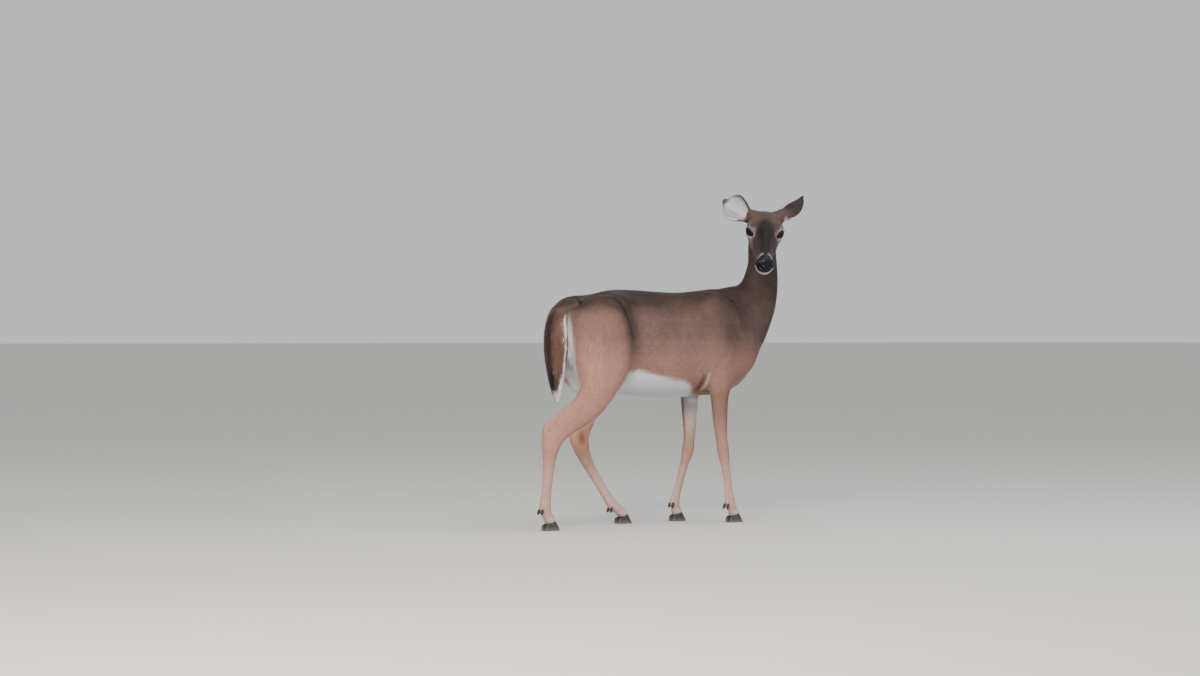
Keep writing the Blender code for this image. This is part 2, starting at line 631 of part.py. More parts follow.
def plane_cutter(name, plane, shift, wide=0.4, deep=0.5, taper=1.0):
    """A block whose near face lies on the plane, moved along its direction by shift."""
    point, ahead = plane
    turn = Vector(ahead).to_track_quat("Z", "Y").to_matrix().to_4x4()
    bm = bmesh.new()
    bmesh.ops.create_cube(bm, size=1)
    for vert in bm.verts:
        out = vert.co.z > 0
        spread = wide * (taper if out else 1)
        vert.co = Vector((vert.co.x * spread, vert.co.y * spread, deep if out else shift))
    bm.transform(Matrix.Translation(Vector(point - CENTRE)) @ turn)
    return as_cutter(built(name, bm))


def boolean(obj, cutter, operation="DIFFERENCE"):
    cut = obj.modifiers.new(cutter.name, "BOOLEAN")
    cut.object, cut.operation, cut.solver = cutter, operation, "EXACT"


def painted(obj, colour, roughness):
    material = bpy.data.materials.new(obj.name + "_surface")
    material.use_nodes = True
    shader = material.node_tree.nodes["Principled BSDF"]
    shader.inputs["Base Color"].default_value = (*colour, 1)
    shader.inputs["Roughness"].default_value = roughness
    obj.data.materials.clear()
    obj.data.materials.append(material)
    return obj


# ---------------------------------------------------------------- parts


def ball(name, centre, radii, axes, segments=12, rings=8):
    """An ellipsoid with its poles on the third axis."""
    bm = bmesh.new()
    bmesh.ops.create_uvsphere(bm, u_segments=segments, v_segments=rings, radius=1)
    for vert in bm.verts:
        vert.co = Vector(centre - CENTRE + (np.array(vert.co) * radii) @ axes)
    return built(name, bm)


def ear_sheet(name, columns=9):
    """The ear's sheet, from its root to its tip, as an outer and an inner skin joined at the rim."""
    rows = ear_rows(name, 1)
    bm = bmesh.new()
    line = rows[:, :3]
    ahead = unit(line[-1] - line[0])
    skins = []
    for sign in (1, -1):
        grid = []
        for row in rows:
            side = np.cross(ahead, row[6:9])
            ring = []
            for angle in np.linspace(-row[4], row[4], columns):
                # the skins draw together at the rim
                half = row[5] * (1 if abs(angle) < 0.95 * row[4] else 0.6)
                at = row[:3] + (side * math.sin(angle) - row[6:9] * math.cos(angle)) * (row[3] + sign * half)
                ring.append(bm.verts.new(at - CENTRE))
            grid.append(ring)
        skins.append(grid)
    outer, inner = skins
    for grid in skins:
        for a, b in zip(grid, grid[1:]):
            for i in range(columns - 1):
                bm.faces.new((a[i], a[i + 1], b[i + 1], b[i]))
    for i in range(len(rows) - 1):
        for j in (0, columns - 1):
            bm.faces.new((outer[i][j], outer[i + 1][j], inner[i + 1][j], inner[i][j]))
    for end in (0, -1):
        for j in range(columns - 1):
            bm.faces.new((outer[end][j], outer[end][j + 1], inner[end][j + 1], inner[end][j]))
    bmesh.ops.triangulate(bm, faces=bm.faces)
    return built(name, bm)


HOOF_RINGS = [  # height at the toe and at the heel, how far back the toe lies, share of the width
    (0.0000, 0.0000, 0.000, 1.00),
    (0.0080, 0.0080, 0.003, 1.00),
    (0.0330, 0.0190, 0.017, 0.84),
]
HOOF_OUTLINE = [(0.034, 0.0030), (0.026, 0.0030), (0.000, 0.0024), (-0.022, 0.0030), (-0.027, 0.0080),
                (-0.024, 0.0170), (-0.008, 0.0215), (0.012, 0.0200), (0.027, 0.0125), (0.034, 0.0065)]
HOOF_SPLAY = math.radians(4)
DEWCLAW_RADII = (0.0055, 0.0055, 0.0110)
DEWCLAW_LEAN = (-0.35, 0, -0.94)
DEWCLAW_APART = 0.0095  # from the middle of the foot


def hoof(name, centre, side):
    """One claw: a flat sole, upright inner wall, round outer wall and sloping toe."""
    bm = bmesh.new()
    rings = []
    toe, heel = HOOF_OUTLINE[0][0], HOOF_OUTLINE[4][0]
    for toe_height, heel_height, back, share in HOOF_RINGS:
        ring = []
        for ahead, out in HOOF_OUTLINE:
            t = (ahead - heel) / (toe - heel)
            height = heel_height + (toe_height - heel_height) * t
            out = 0.011 + (out - 0.011) * share
            place_at = Matrix.Rotation(side * HOOF_SPLAY, 3, "Z") @ Vector((ahead - back * max(t, 0) ** 1.5,
                                                                           side * out, height))
            ring.append(bm.verts.new(place_at + Vector((centre[0], centre[1], 0)) - Vector(CENTRE)))
        rings.append(ring)
    for lower, upper in zip(rings, rings[1:]):
        for i in range(len(lower)):
            j = (i + 1) % len(lower)
            bm.faces.new((lower[i], lower[j], upper[j], upper[i]))
    bm.faces.new(rings[0])
    bm.faces.new(rings[-1])
    bmesh.ops.triangulate(bm, faces=bm.faces)
    return built(name, bm)


def dewclaw(name, x, y, z):
    tilt, across = unit(DEWCLAW_LEAN), np.array(LEFT)
    axes = np.stack([np.cross(across, tilt), across, tilt])
    return ball(name, np.array((x, y, z)), DEWCLAW_RADII, axes, 6, 5)


def main():
    for obj in list(bpy.data.objects):
        bpy.data.objects.remove(obj)

    throat_ahead = unit(THROAT[1]) @ HEAD
    throat = (np.array(THROAT[0]), throat_ahead)
    neck_base = (np.array(NECK_BASE[0]), unit(NECK_BASE[1]))
    flesh = trunk_shapes() + neck_shapes() + leg_shapes() + head_shapes()
    ear_stubs = [Cup(ear_rows(name, 5)[:11]) for name in EARS]
    skull = neck_shapes() + head_shapes() + ear_stubs

    body = solid("body", flesh, BODY_STEP, BODY_TRIANGLES, (throat[0] + throat_ahead * 0.012, throat_ahead))
    as_cutter(body)
    head = solid("head", skull, HEAD_STEP, HEAD_TRIANGLES, (throat[0] - throat_ahead * 0.012, -throat_ahead))
    tail = solid("tail", tail_shapes(), BODY_STEP, TAIL_TRIANGLES)

    # head, neck and trunk
    boolean(head, plane_cutter("head_side", throat, GAP / 2), "INTERSECT")
    neck = copied(body, "neck")
    boolean(neck, plane_cutter("neck_end", throat, -GAP / 2))
    boolean(neck, plane_cutter("neck_side", neck_base, GAP / 2), "INTERSECT")
    trunk = copied(body, "trunk")
    boolean(trunk, plane_cutter("trunk_end", neck_base, -GAP / 2))
    boolean(trunk, grown(tail))

    # ears
    for name, (side, reach, _) in EARS.items():
        root, ahead, length = ear_axis(side, reach)
        ear = ear_sheet(name)
        plane = (root + ahead * EAR_CUT, ahead)
        boolean(ear, plane_cutter(name + "_side", plane, GAP / 2), "INTERSECT")
        boolean(head, plane_cutter(name + "_end", plane, -GAP / 2, wide=0.096, deep=length, taper=2.0))
        painted(ear, EAR_GREY, 0.8)

    # eyes and nose pad, each in a pocket
    for name, side in (("eye_right", -1), ("eye_left", 1)):
        centre, out, nose, up = eye_axes(side)
        eye = ball(name, centre, (EYE_RADIUS,) * 3, np.stack([nose, up, out]))
        boolean(head, grown(eye))
        painted(eye, BLACK, 0.05)
    pad = ball("nose_pad", on_head(*NOSE_AT), NOSE_RADII, HEAD)
    boolean(head, grown(pad))
    painted(pad, BLACK, 0.25)

    # legs, with their hooves and dewclaws
    for foot, (side, _, coronet, dew_at) in FEET.items():
        low_back, low_front, back, front, top, clear, inner = LEG_CUTS[foot]
        leg = copied(body, foot.replace("_", "_leg_"))
        for obj, shift, how in ((leg, GAP / 2, "INTERSECT"), (trunk, -GAP / 2, "DIFFERENCE")):
            outline = [(low_back + shift, FLOOR), (low_front - shift, FLOOR),
                       (low_front - shift, clear - shift), (front - shift, clear - shift),
                       (front - shift, top - shift), (back + shift, top - shift),
                       (back + shift, clear - shift), (low_back + shift, clear - shift)]
            cutter = prism_cutter(f"{foot}_{how.lower()}", outline, side * (inner + shift), side * OUTSIDE)
            boolean(obj, cutter, how)
        for place_name, turn in (("inner", -side), ("outer", side)):
            claw = painted(hoof(f"hoof_{foot}_{place_name}", coronet, turn), HORN, 0.35)
            boolean(leg, grown(claw))
            y = coronet[1] + turn * DEWCLAW_APART
            spur = painted(dewclaw(f"dewclaw_{foot}_{place_name}", dew_at[0], y, dew_at[1]), HORN, 0.4)
            boolean(leg, grown(spur))
        painted(leg, LEG_TAN, 0.8)

    for obj, colour in ((head, COAT), (neck, COAT), (trunk, COAT), (tail, TAIL_BROWN)):
        painted(obj, colour, 0.8)


main()
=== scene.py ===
"""White-tailed deer, a doe, as a finished museum model: skin, coat, eyes, nose, hooves and a studio.

The skin is one mesh for all the flesh. It is the surface of the same distance field that the
frame's solids were cut from, moved inward by the depth of the coat. The coat is mesh tufts that
lie along it. Where the hair is white, warm or dark, and where shade is painted into the coat as
dark, is worked out from places on the body and kept on the meshes as four masks, which every
coat material reads.
"""

import itertools
import math

import bmesh
import bpy
import numpy as np
from bpy.props import FloatProperty, FloatVectorProperty, IntProperty, PointerProperty, StringProperty
from mathutils import Matrix, Vector
from mathutils.bvhtree import BVHTree


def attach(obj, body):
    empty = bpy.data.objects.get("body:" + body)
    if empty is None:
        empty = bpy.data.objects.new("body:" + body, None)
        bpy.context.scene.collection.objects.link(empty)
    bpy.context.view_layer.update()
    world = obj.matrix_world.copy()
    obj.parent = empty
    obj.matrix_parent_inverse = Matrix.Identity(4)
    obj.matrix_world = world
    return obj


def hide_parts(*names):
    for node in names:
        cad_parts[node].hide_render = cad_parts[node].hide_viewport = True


bl_info = {
    "name": "White-tailed deer",
    "version": (1, 0, 0),
    "blender": (4, 5, 0),
    "location": "View3D > Sidebar > Deer",
    "description": "Builds the skin, coat, eyes, nose and hooves of a standing doe",
    "category": "Object",
}

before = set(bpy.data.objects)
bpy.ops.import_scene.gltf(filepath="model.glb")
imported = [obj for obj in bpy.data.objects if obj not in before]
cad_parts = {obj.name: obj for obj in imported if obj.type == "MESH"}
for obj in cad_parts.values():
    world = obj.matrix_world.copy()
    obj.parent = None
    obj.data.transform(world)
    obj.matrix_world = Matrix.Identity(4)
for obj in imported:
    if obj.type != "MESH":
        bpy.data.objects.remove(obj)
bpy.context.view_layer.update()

CENTRE = np.array((0.0180, -0.0495, 0.0))  # the anatomy's middle, taken off to reach the frame
UP = np.array((0.0, 0.0, 1.0))
LEFT = (0.0, 1.0, 0.0)
FAR = 1.0  # the field's value where no shape is near
MARGIN = 0.02  # how far past a shape its field is still worked out

HEAD_AT = np.array((0.375, -0.128, 0.989))  # midway between the eyes
HEAD_TURN = math.radians(-127.8)  # from +X, looking back past the right shoulder
HEAD_PITCH = math.radians(34)
HEAD_ROLL = math.radians(5.2)
EYE_AT = (0.002, 0.0465, 0.006)  # of the left eyeball, in the head's axes
EYE_RADIUS = 0.0175
EYE_YAW = math.radians(48)  # of the gaze, out from straight ahead
EYE_TILT = math.radians(5)
EYE_SLANT = 0.18  # how far an eye's corners drop toward the nose
NOSE_AT = (0.1575, 0.0, -0.0210)
NOSE_RADII = (0.0155, 0.0300, 0.0215)

FLESH = ["head", "neck", "trunk", "tail", "ear_left", "ear_right", "nose_pad"]
FLESH += [f"{end}_leg_{side}" for end in ("fore", "hind") for side in ("left", "right")]


# ---------------------------------------------------------------- distance field


def unit(vector):
    """The vector at length 1."""
    vector = np.asarray(vector, float)
    return vector / np.linalg.norm(vector)


def curve_through(p, per_span):
    """Points along a Catmull-Rom curve, from the second point given to the last but one."""
    out = []
    for a, b, c, d in zip(p, p[1:], p[2:], p[3:]):
        for t in np.arange(per_span) / per_span:
            out.append(0.5 * (2 * b + (c - a) * t + (2 * a - 5 * b + 4 * c - d) * t * t
                              + (3 * b - a - 3 * c + d) * t ** 3))
    return out


def smooth_rows(rows, per_span):
    """Rows of numbers along a smooth curve through the given rows."""
    p = np.asarray(rows, float)
    p = np.vstack([2 * p[0] - p[1], p, 2 * p[-1] - p[-2]])
    return np.array(curve_through(p, per_span) + [p[-2]])


def ellipsoid_gap(offset, radii):
    """Distance from an ellipsoid's surface, close to true near it."""
    scaled = np.sqrt(((offset / radii) ** 2).sum(1)) + 1e-9
    steep = np.sqrt(((offset / radii ** 2) ** 2).sum(1)) + 1e-9
    return scaled * (scaled - 1) / steep


class Swept:
    """What a swept shape needs: smooth rows, directions along them, and a box round each span."""

    def __init__(self, rows, blend, reach):
        self.rows, self.blend = rows, blend
        line = rows[:, :3]
        ahead = np.vstack([line[1] - line[0], line[2:] - line[:-2], line[-1] - line[-2]])
        self.ahead = ahead / np.linalg.norm(ahead, axis=1)[:, None]
        reach = reach[:, None] + blend + MARGIN
        low, high = line - reach, line + reach
        self.span_low = np.minimum(low[:-1], low[1:])
        self.span_high = np.maximum(high[:-1], high[1:])
        self.low, self.high = self.span_low.min(0), self.span_high.max(0)

    def distance(self, points):
        best = np.full(len(points), FAR)
        last = len(self.rows) - 2
        for i in range(last + 1):
            near = np.flatnonzero(((points >= self.span_low[i]) & (points <= self.span_high[i])).all(1))
            a, b = self.rows[i], self.rows[i + 1]
            past = (points[near] - a[:3]) @ self.ahead[i]
            short = (b[:3] - points[near]) @ self.ahead[i + 1]
            keep = ((past >= 0) | (i == 0)) & ((short >= 0) | (i == last))
            near, past, short = near[keep], past[keep], short[keep]
            if not len(near):
                continue
            t = np.clip(past / np.where(past + short == 0, 1, past + short), 0, 1)[:, None]
            ahead = self.ahead[i] + t * (self.ahead[i + 1] - self.ahead[i])
            ahead /= np.linalg.norm(ahead, axis=1)[:, None]
            row = a + t * (b - a)
            side = row[:, 6:9] - (row[:, 6:9] * ahead).sum(1)[:, None] * ahead
            side /= np.linalg.norm(side, axis=1)[:, None]
            offset = points[near] - row[:, :3]
            local = [(offset * axis).sum(1) for axis in (side, np.cross(ahead, side), ahead)]
            best[near] = np.minimum(best[near], self.section(row, *local))
        return best


class Tube(Swept):
    """Elliptical sections. A station is x, y, z, half width, half depth and, last, how much
    narrower the section is on its back than on its belly."""

    def __init__(self, stations, left=LEFT, blend=0.02, per_span=4):
        lefts = [left] * len(stations) if np.ndim(left[0]) == 0 else left
        rows = [(list(s) + [0.0])[:6] + list(unit(side)) for s, side in zip(stations, lefts)]
        rows = smooth_rows(rows, per_span)
        rows[:, 3:5] = np.maximum(rows[:, 3:5], 0.001)
        super().__init__(rows, blend, rows[:, 3:5].max(1) * 1.1)

    def section(self, row, u, v, w):
        half_width = row[:, 3] * (1 - row[:, 5] * np.clip(v / row[:, 4], -1, 1))
        cap = np.minimum(row[:, 3], row[:, 4])
        return ellipsoid_gap(np.stack([u, v, w], 1), np.stack([half_width, row[:, 4], cap], 1))


class Cup(Swept):
    """A sheet bent to an arc, open on one side, as an ear is. A row is the arc's centre, its
    radius, half angle and half thickness, and the way it opens."""

    def __init__(self, rows, blend=0.01):
        super().__init__(rows, blend, rows[:, 3] * 1.2)

    def section(self, row, wide, back, w):
        angle = np.clip(np.arctan2(back, -wide), -row[:, 4], row[:, 4])
        arc_wide, arc_back = -np.cos(angle) * row[:, 3], np.sin(angle) * row[:, 3]
        return np.sqrt((wide - arc_wide) ** 2 + (back - arc_back) ** 2 + w ** 2) - row[:, 5]


class Lump:
    """An ellipsoid: its centre, three radii and the directions of the first two."""

    def __init__(self, centre, radii, ahead=(1, 0, 0), left=LEFT, blend=0.02):
        self.centre, self.radii, self.blend = np.asarray(centre, float), np.asarray(radii, float), blend
        ahead = unit(ahead)
        left = unit(np.asarray(left, float) - (np.asarray(left, float) @ ahead) * ahead)
        self.axes = np.stack([ahead, left, np.cross(ahead, left)], 1)
        reach = np.sqrt((self.axes ** 2) @ (self.radii ** 2)) + 2 * blend + MARGIN
        self.low, self.high = self.centre - reach, self.centre + reach

    def distance(self, points):
        return ellipsoid_gap((points - self.centre) @ self.axes, self.radii)


def blended(a, b, radius):
    """The lesser of two distances, with a fillet of this radius between them."""
    h = np.clip(0.5 + 0.5 * (b - a) / radius, 0, 1)
    return a * h + b * (1 - h) - radius * h * (1 - h)


def field(shapes, points):
    """How far points lie outside the blended shapes, and below zero inside them."""
    value = np.full(len(points), FAR)
    low, high = points.min(0), points.max(0)
    for shape in shapes:
        if (low > shape.high).any() or (high < shape.low).any():
            continue
        near = ((points >= shape.low) & (points <= shape.high)).all(1)
        if near.any():
            value[near] = blended(value[near], shape.distance(points[near]), shape.blend)
    return value


# ---------------------------------------------------------------- anatomy, as in the frame's solids


def head_axes():
    """Rows: ahead to the nose, left, and up, in the animal's axes."""
    level = math.cos(HEAD_PITCH)
    ahead = np.array((math.cos(HEAD_TURN) * level, math.sin(HEAD_TURN) * level, -math.sin(HEAD_PITCH)))
    left = unit(np.cross(UP, ahead))
    up = np.cross(ahead, left)
    c, s = math.cos(HEAD_ROLL), math.sin(HEAD_ROLL)
    return np.stack([ahead, left * c - up * s, up * c + left * s])


HEAD = head_axes()


def on_head(x, y, z):
    """A place on the head, in the animal's axes."""
    return HEAD_AT + np.array((x, y, z)) @ HEAD


def head_lump(at, radii, ahead=(1, 0, 0), blend=0.02):
    return Lump(on_head(*at), radii, np.array(ahead) @ HEAD, HEAD[1], blend)


def eye_axes(side):
    """Centre of an eyeball, then out along its gaze, toward the nose, and up."""
    level = math.cos(EYE_TILT)
    out = np.array((math.cos(EYE_YAW) * level, side * math.sin(EYE_YAW) * level, math.sin(EYE_TILT)))
    nose = np.array((math.sin(EYE_YAW), -side * math.cos(EYE_YAW), -EYE_SLANT))
    nose = unit(nose - (nose @ out) * out)
    up = np.cross(out, nose) * -side
    return on_head(EYE_AT[0], side * EYE_AT[1], EYE_AT[2]), out @ HEAD, nose @ HEAD, up @ HEAD


def trunk_shapes():
    rows = [  # x, top, bottom, half width, narrowing toward the back
        (-0.385, 0.735, 0.620, 0.030, 0.00),
        (-0.360, 0.752, 0.560, 0.070, 0.10),
        (-0.300, 0.776, 0.500, 0.100, 0.12),
        (-0.220, 0.793, 0.455, 0.112, 0.12),
        (-0.120, 0.795, 0.436, 0.118, 0.12),
        (-0.020, 0.790, 0.427, 0.125, 0.14),
        (0.080, 0.787, 0.427, 0.126, 0.16),
        (0.180, 0.792, 0.434, 0.116, 0.22),
        (0.260, 0.797, 0.452, 0.098, 0.28),
        (0.330, 0.790, 0.485, 0.078, 0.22),
        (0.380, 0.760, 0.530, 0.060, 0.10),
        (0.410, 0.720, 0.590, 0.040, 0.00),
    ]
    shapes = [Tube([(x, 0, (t + b) / 2, w, (t - b) / 2, k) for x, t, b, w, k in rows], blend=0.03),
              Lump((0.285, 0, 0.530), (0.115, 0.050, 0.075), (1, 0, 0.35), blend=0.05)]  # brisket
    for s in (-1, 1):
        # the right limb is stretched back and the left one drawn forward under the belly
        lean, forward = ((0.0, 0, -1), 0.0) if s < 0 else ((0.38, 0, -0.92), 0.028)
        muscles = [  # centre, radii, the way of the first radius, fillet, tilt of the second radius
            ((-0.280, 0.068, 0.660), (0.108, 0.055, 0.115), (1, 0, 0.1), 0.050, -0.15),  # haunch
            ((-0.262 + forward, 0.088, 0.582), (0.150, 0.044, 0.092), lean, 0.035, 0),  # thigh
            ((-0.335 + forward, 0.078, 0.580), (0.148, 0.048, 0.055), lean, 0.035, 0),  # buttock
            ((-0.205, 0.060, 0.738), (0.040, 0.020, 0.024), (1, 0, 0.1), 0.060, 0),  # hip bone
            ((-0.362, 0.050, 0.690), (0.026, 0.022, 0.035), (1, 0, 0), 0.035, 0),  # pin bone
            ((0.262, 0.056, 0.680), (0.115, 0.028, 0.062), (0.5, 0, -0.86), 0.060, -0.3),  # blade
            ((0.302, 0.074, 0.565), (0.085, 0.032, 0.058), (0.80, 0, 0.60), 0.050, 0),  # upper arm
            ((0.235, 0.078, 0.560), (0.050, 0.034, 0.095), (1, 0, 0.2), 0.050, 0),  # triceps
            ((0.345, 0.030, 0.700), (0.110, 0.044, 0.080), (0.55, 0, 0.83), 0.050, 0),  # neck's root
        ]
        shapes += [Lump((x, s * y, z), radii, ahead, (0, 1, tilt * s), blend)
                   for (x, y, z), radii, ahead, blend, tilt in muscles]
    return shapes


def neck_shapes():
    turn = [math.radians(a) for a in (0, 0, 2, 10, 24, 44, 70, 100, 120)]
    rows = [
        (0.330, 0.000, 0.585, 0.055, 0.070),
        (0.371, -0.003, 0.635, 0.066, 0.078),
        (0.404, -0.009, 0.690, 0.065, 0.078),
        (0.430, -0.017, 0.745, 0.060, 0.070),
        (0.444, -0.027, 0.805, 0.054, 0.058),
        (0.441, -0.036, 0.860, 0.050, 0.053),
        (0.431, -0.045, 0.915, 0.047, 0.052),
        (0.425, -0.052, 0.970, 0.046, 0.054),
        (0.428, -0.055, 1.015, 0.042, 0.046),
    ]
    nape = [(0.240, 0, 0.758, 0.030, 0.030), (0.320, 0, 0.765, 0.036, 0.036),
            (0.388, -0.013, 0.785, 0.036, 0.036), (0.418, -0.023, 0.850, 0.030, 0.030)]
    lefts = [(math.sin(a), math.cos(a), 0) for a in turn]
    return [Tube(rows, lefts, blend=0.035), Tube(nape, blend=0.03)]


# Limb stations from the top down: x, distance from the middle plane, z, half width, half depth
FORE_RIGHT = [
    (0.262, 0.074, 0.585, 0.030, 0.060),
    (0.222, 0.083, 0.510, 0.034, 0.054),
    (0.211, 0.087, 0.460, 0.029, 0.042),
    (0.209, 0.088, 0.410, 0.025, 0.0345),
    (0.211, 0.088, 0.360, 0.0225, 0.0300),
    (0.2155, 0.087, 0.312, 0.0190, 0.0250),
    (0.2215, 0.086, 0.276, 0.0180, 0.0215),
    (0.2265, 0.085, 0.250, 0.0195, 0.0225),
    (0.2320, 0.085, 0.222, 0.0170, 0.0200),
    (0.2385, 0.085, 0.190, 0.0128, 0.0165),
    (0.2460, 0.085, 0.145, 0.0120, 0.0155),
    (0.2525, 0.085, 0.100, 0.0125, 0.0160),
    (0.2570, 0.085, 0.070, 0.0165, 0.0190),
    (0.2650, 0.084, 0.050, 0.0160, 0.0170),
    (0.2740, 0.083, 0.034, 0.0195, 0.0185),
]
FORE_LEFT = [
    (0.262, 0.074, 0.585, 0.030, 0.060),
    (0.225, 0.083, 0.510, 0.034, 0.054),
    (0.217, 0.087, 0.460, 0.029, 0.042),
    (0.216, 0.088, 0.410, 0.025, 0.0345),
    (0.216, 0.088, 0.360, 0.0225, 0.0290),
    (0.2150, 0.087, 0.312, 0.0190, 0.0235),
    (0.2120, 0.086, 0.276, 0.0180, 0.0210),
    (0.2080, 0.085, 0.250, 0.0195, 0.0225),
    (0.2000, 0.085, 0.222, 0.0170, 0.0200),
    (0.1890, 0.085, 0.190, 0.0128, 0.0160),
    (0.1745, 0.085, 0.145, 0.0120, 0.0150),
    (0.1585, 0.085, 0.098, 0.0125, 0.0155),
    (0.1490, 0.085, 0.070, 0.0165, 0.0190),
    (0.1500, 0.084, 0.050, 0.0160, 0.0170),
    (0.1560, 0.083, 0.034, 0.0195, 0.0185),
]
HIND_RIGHT = [
    (-0.290, 0.085, 0.620, 0.045, 0.090),
    (-0.295, 0.098, 0.540, 0.045, 0.092),
    (-0.310, 0.108, 0.480, 0.040, 0.075),
    (-0.345, 0.110, 0.425, 0.034, 0.060),
    (-0.395, 0.108, 0.380, 0.027, 0.048),
    (-0.450, 0.104, 0.345, 0.021, 0.041),
    (-0.485, 0.101, 0.312, 0.0210, 0.0400),
    (-0.499, 0.098, 0.278, 0.0215, 0.0345),
    (-0.502, 0.095, 0.245, 0.0180, 0.0270),
    (-0.505, 0.092, 0.205, 0.0145, 0.0220),
    (-0.508, 0.090, 0.155, 0.0130, 0.0190),
    (-0.512, 0.088, 0.110, 0.0140, 0.0190),
    (-0.515, 0.087, 0.078, 0.0175, 0.0215),
    (-0.507, 0.086, 0.053, 0.0165, 0.0180),
    (-0.495, 0.085, 0.035, 0.0200, 0.0190),
]
HIND_LEFT = [
    (-0.270, 0.085, 0.640, 0.045, 0.085),
    (-0.215, 0.098, 0.580, 0.045, 0.082),
    (-0.175, 0.108, 0.525, 0.040, 0.068),
    (-0.165, 0.110, 0.470, 0.034, 0.055),
    (-0.188, 0.106, 0.415, 0.027, 0.046),
    (-0.222, 0.100, 0.355, 0.022, 0.040),
    (-0.246, 0.095, 0.312, 0.0210, 0.0400),
    (-0.246, 0.092, 0.275, 0.0215, 0.0345),
    (-0.234, 0.090, 0.240, 0.0180, 0.0270),
    (-0.213, 0.088, 0.200, 0.0145, 0.0210),
    (-0.180, 0.085, 0.150, 0.0130, 0.0180),
    (-0.145, 0.083, 0.100, 0.0140, 0.0180),
    (-0.122, 0.082, 0.070, 0.0175, 0.0205),
    (-0.098, 0.082, 0.050, 0.0165, 0.0180),
    (-0.077, 0.082, 0.035, 0.0200, 0.0185),
]
# The tendon down to the point of the hock
HEEL_RIGHT = [(-0.430, 0.109, 0.405, 0.010, 0.014), (-0.485, 0.106, 0.368, 0.009, 0.012),
              (-0.521, 0.103, 0.337, 0.012, 0.013), (-0.520, 0.101, 0.305, 0.012, 0.013),
              (-0.514, 0.097, 0.265, 0.010, 0.012)]
HEEL_LEFT = [(-0.236, 0.106, 0.415, 0.010, 0.014), (-0.262, 0.103, 0.370, 0.009, 0.012),
             (-0.281, 0.100, 0.330, 0.012, 0.013), (-0.272, 0.097, 0.300, 0.012, 0.013),
             (-0.252, 0.092, 0.262, 0.010, 0.012)]
# Each foot: name, side, stations, coronet centre, and where the dewclaws sit behind the fetlock
FEET = {
    "fore_right": (-1, FORE_RIGHT, (0.2760, -0.083), (0.2415, 0.056)),
    "fore_left": (1, FORE_LEFT, (0.1580, 0.083), (0.1325, 0.056)),
    "hind_right": (-1, HIND_RIGHT, (-0.4925, -0.085), (-0.5325, 0.062)),
    "hind_left": (1, HIND_LEFT, (-0.0750, 0.082), (-0.1300, 0.048)),
}


def leg_shapes():
    tubes = [(side, stations, 0.022, 5) for side, stations, _, _ in FEET.values()]
    tubes += [(-1, HEEL_RIGHT, 0.012, 4), (1, HEEL_LEFT, 0.012, 4)]
    return [Tube([(x, side * y, z, w, d) for x, y, z, w, d in stations], LEFT, blend, per_span)
            for side, stations, blend, per_span in tubes]


def tail_shapes():
    rows = [
        (-0.340, 0, 0.742, 0.030, 0.026),
        (-0.388, 0, 0.722, 0.032, 0.026),
        (-0.407, 0, 0.690, 0.047, 0.028),
        (-0.412, 0, 0.645, 0.057, 0.031),
        (-0.413, 0, 0.595, 0.057, 0.030),
        (-0.412, 0, 0.545, 0.050, 0.027),
        (-0.409, 0, 0.495, 0.040, 0.022),
        (-0.406, 0, 0.450, 0.027, 0.016),
        (-0.404, 0, 0.417, 0.010, 0.007),
    ]
    return [Tube(rows, (0, -1, 0), blend=0.02)]


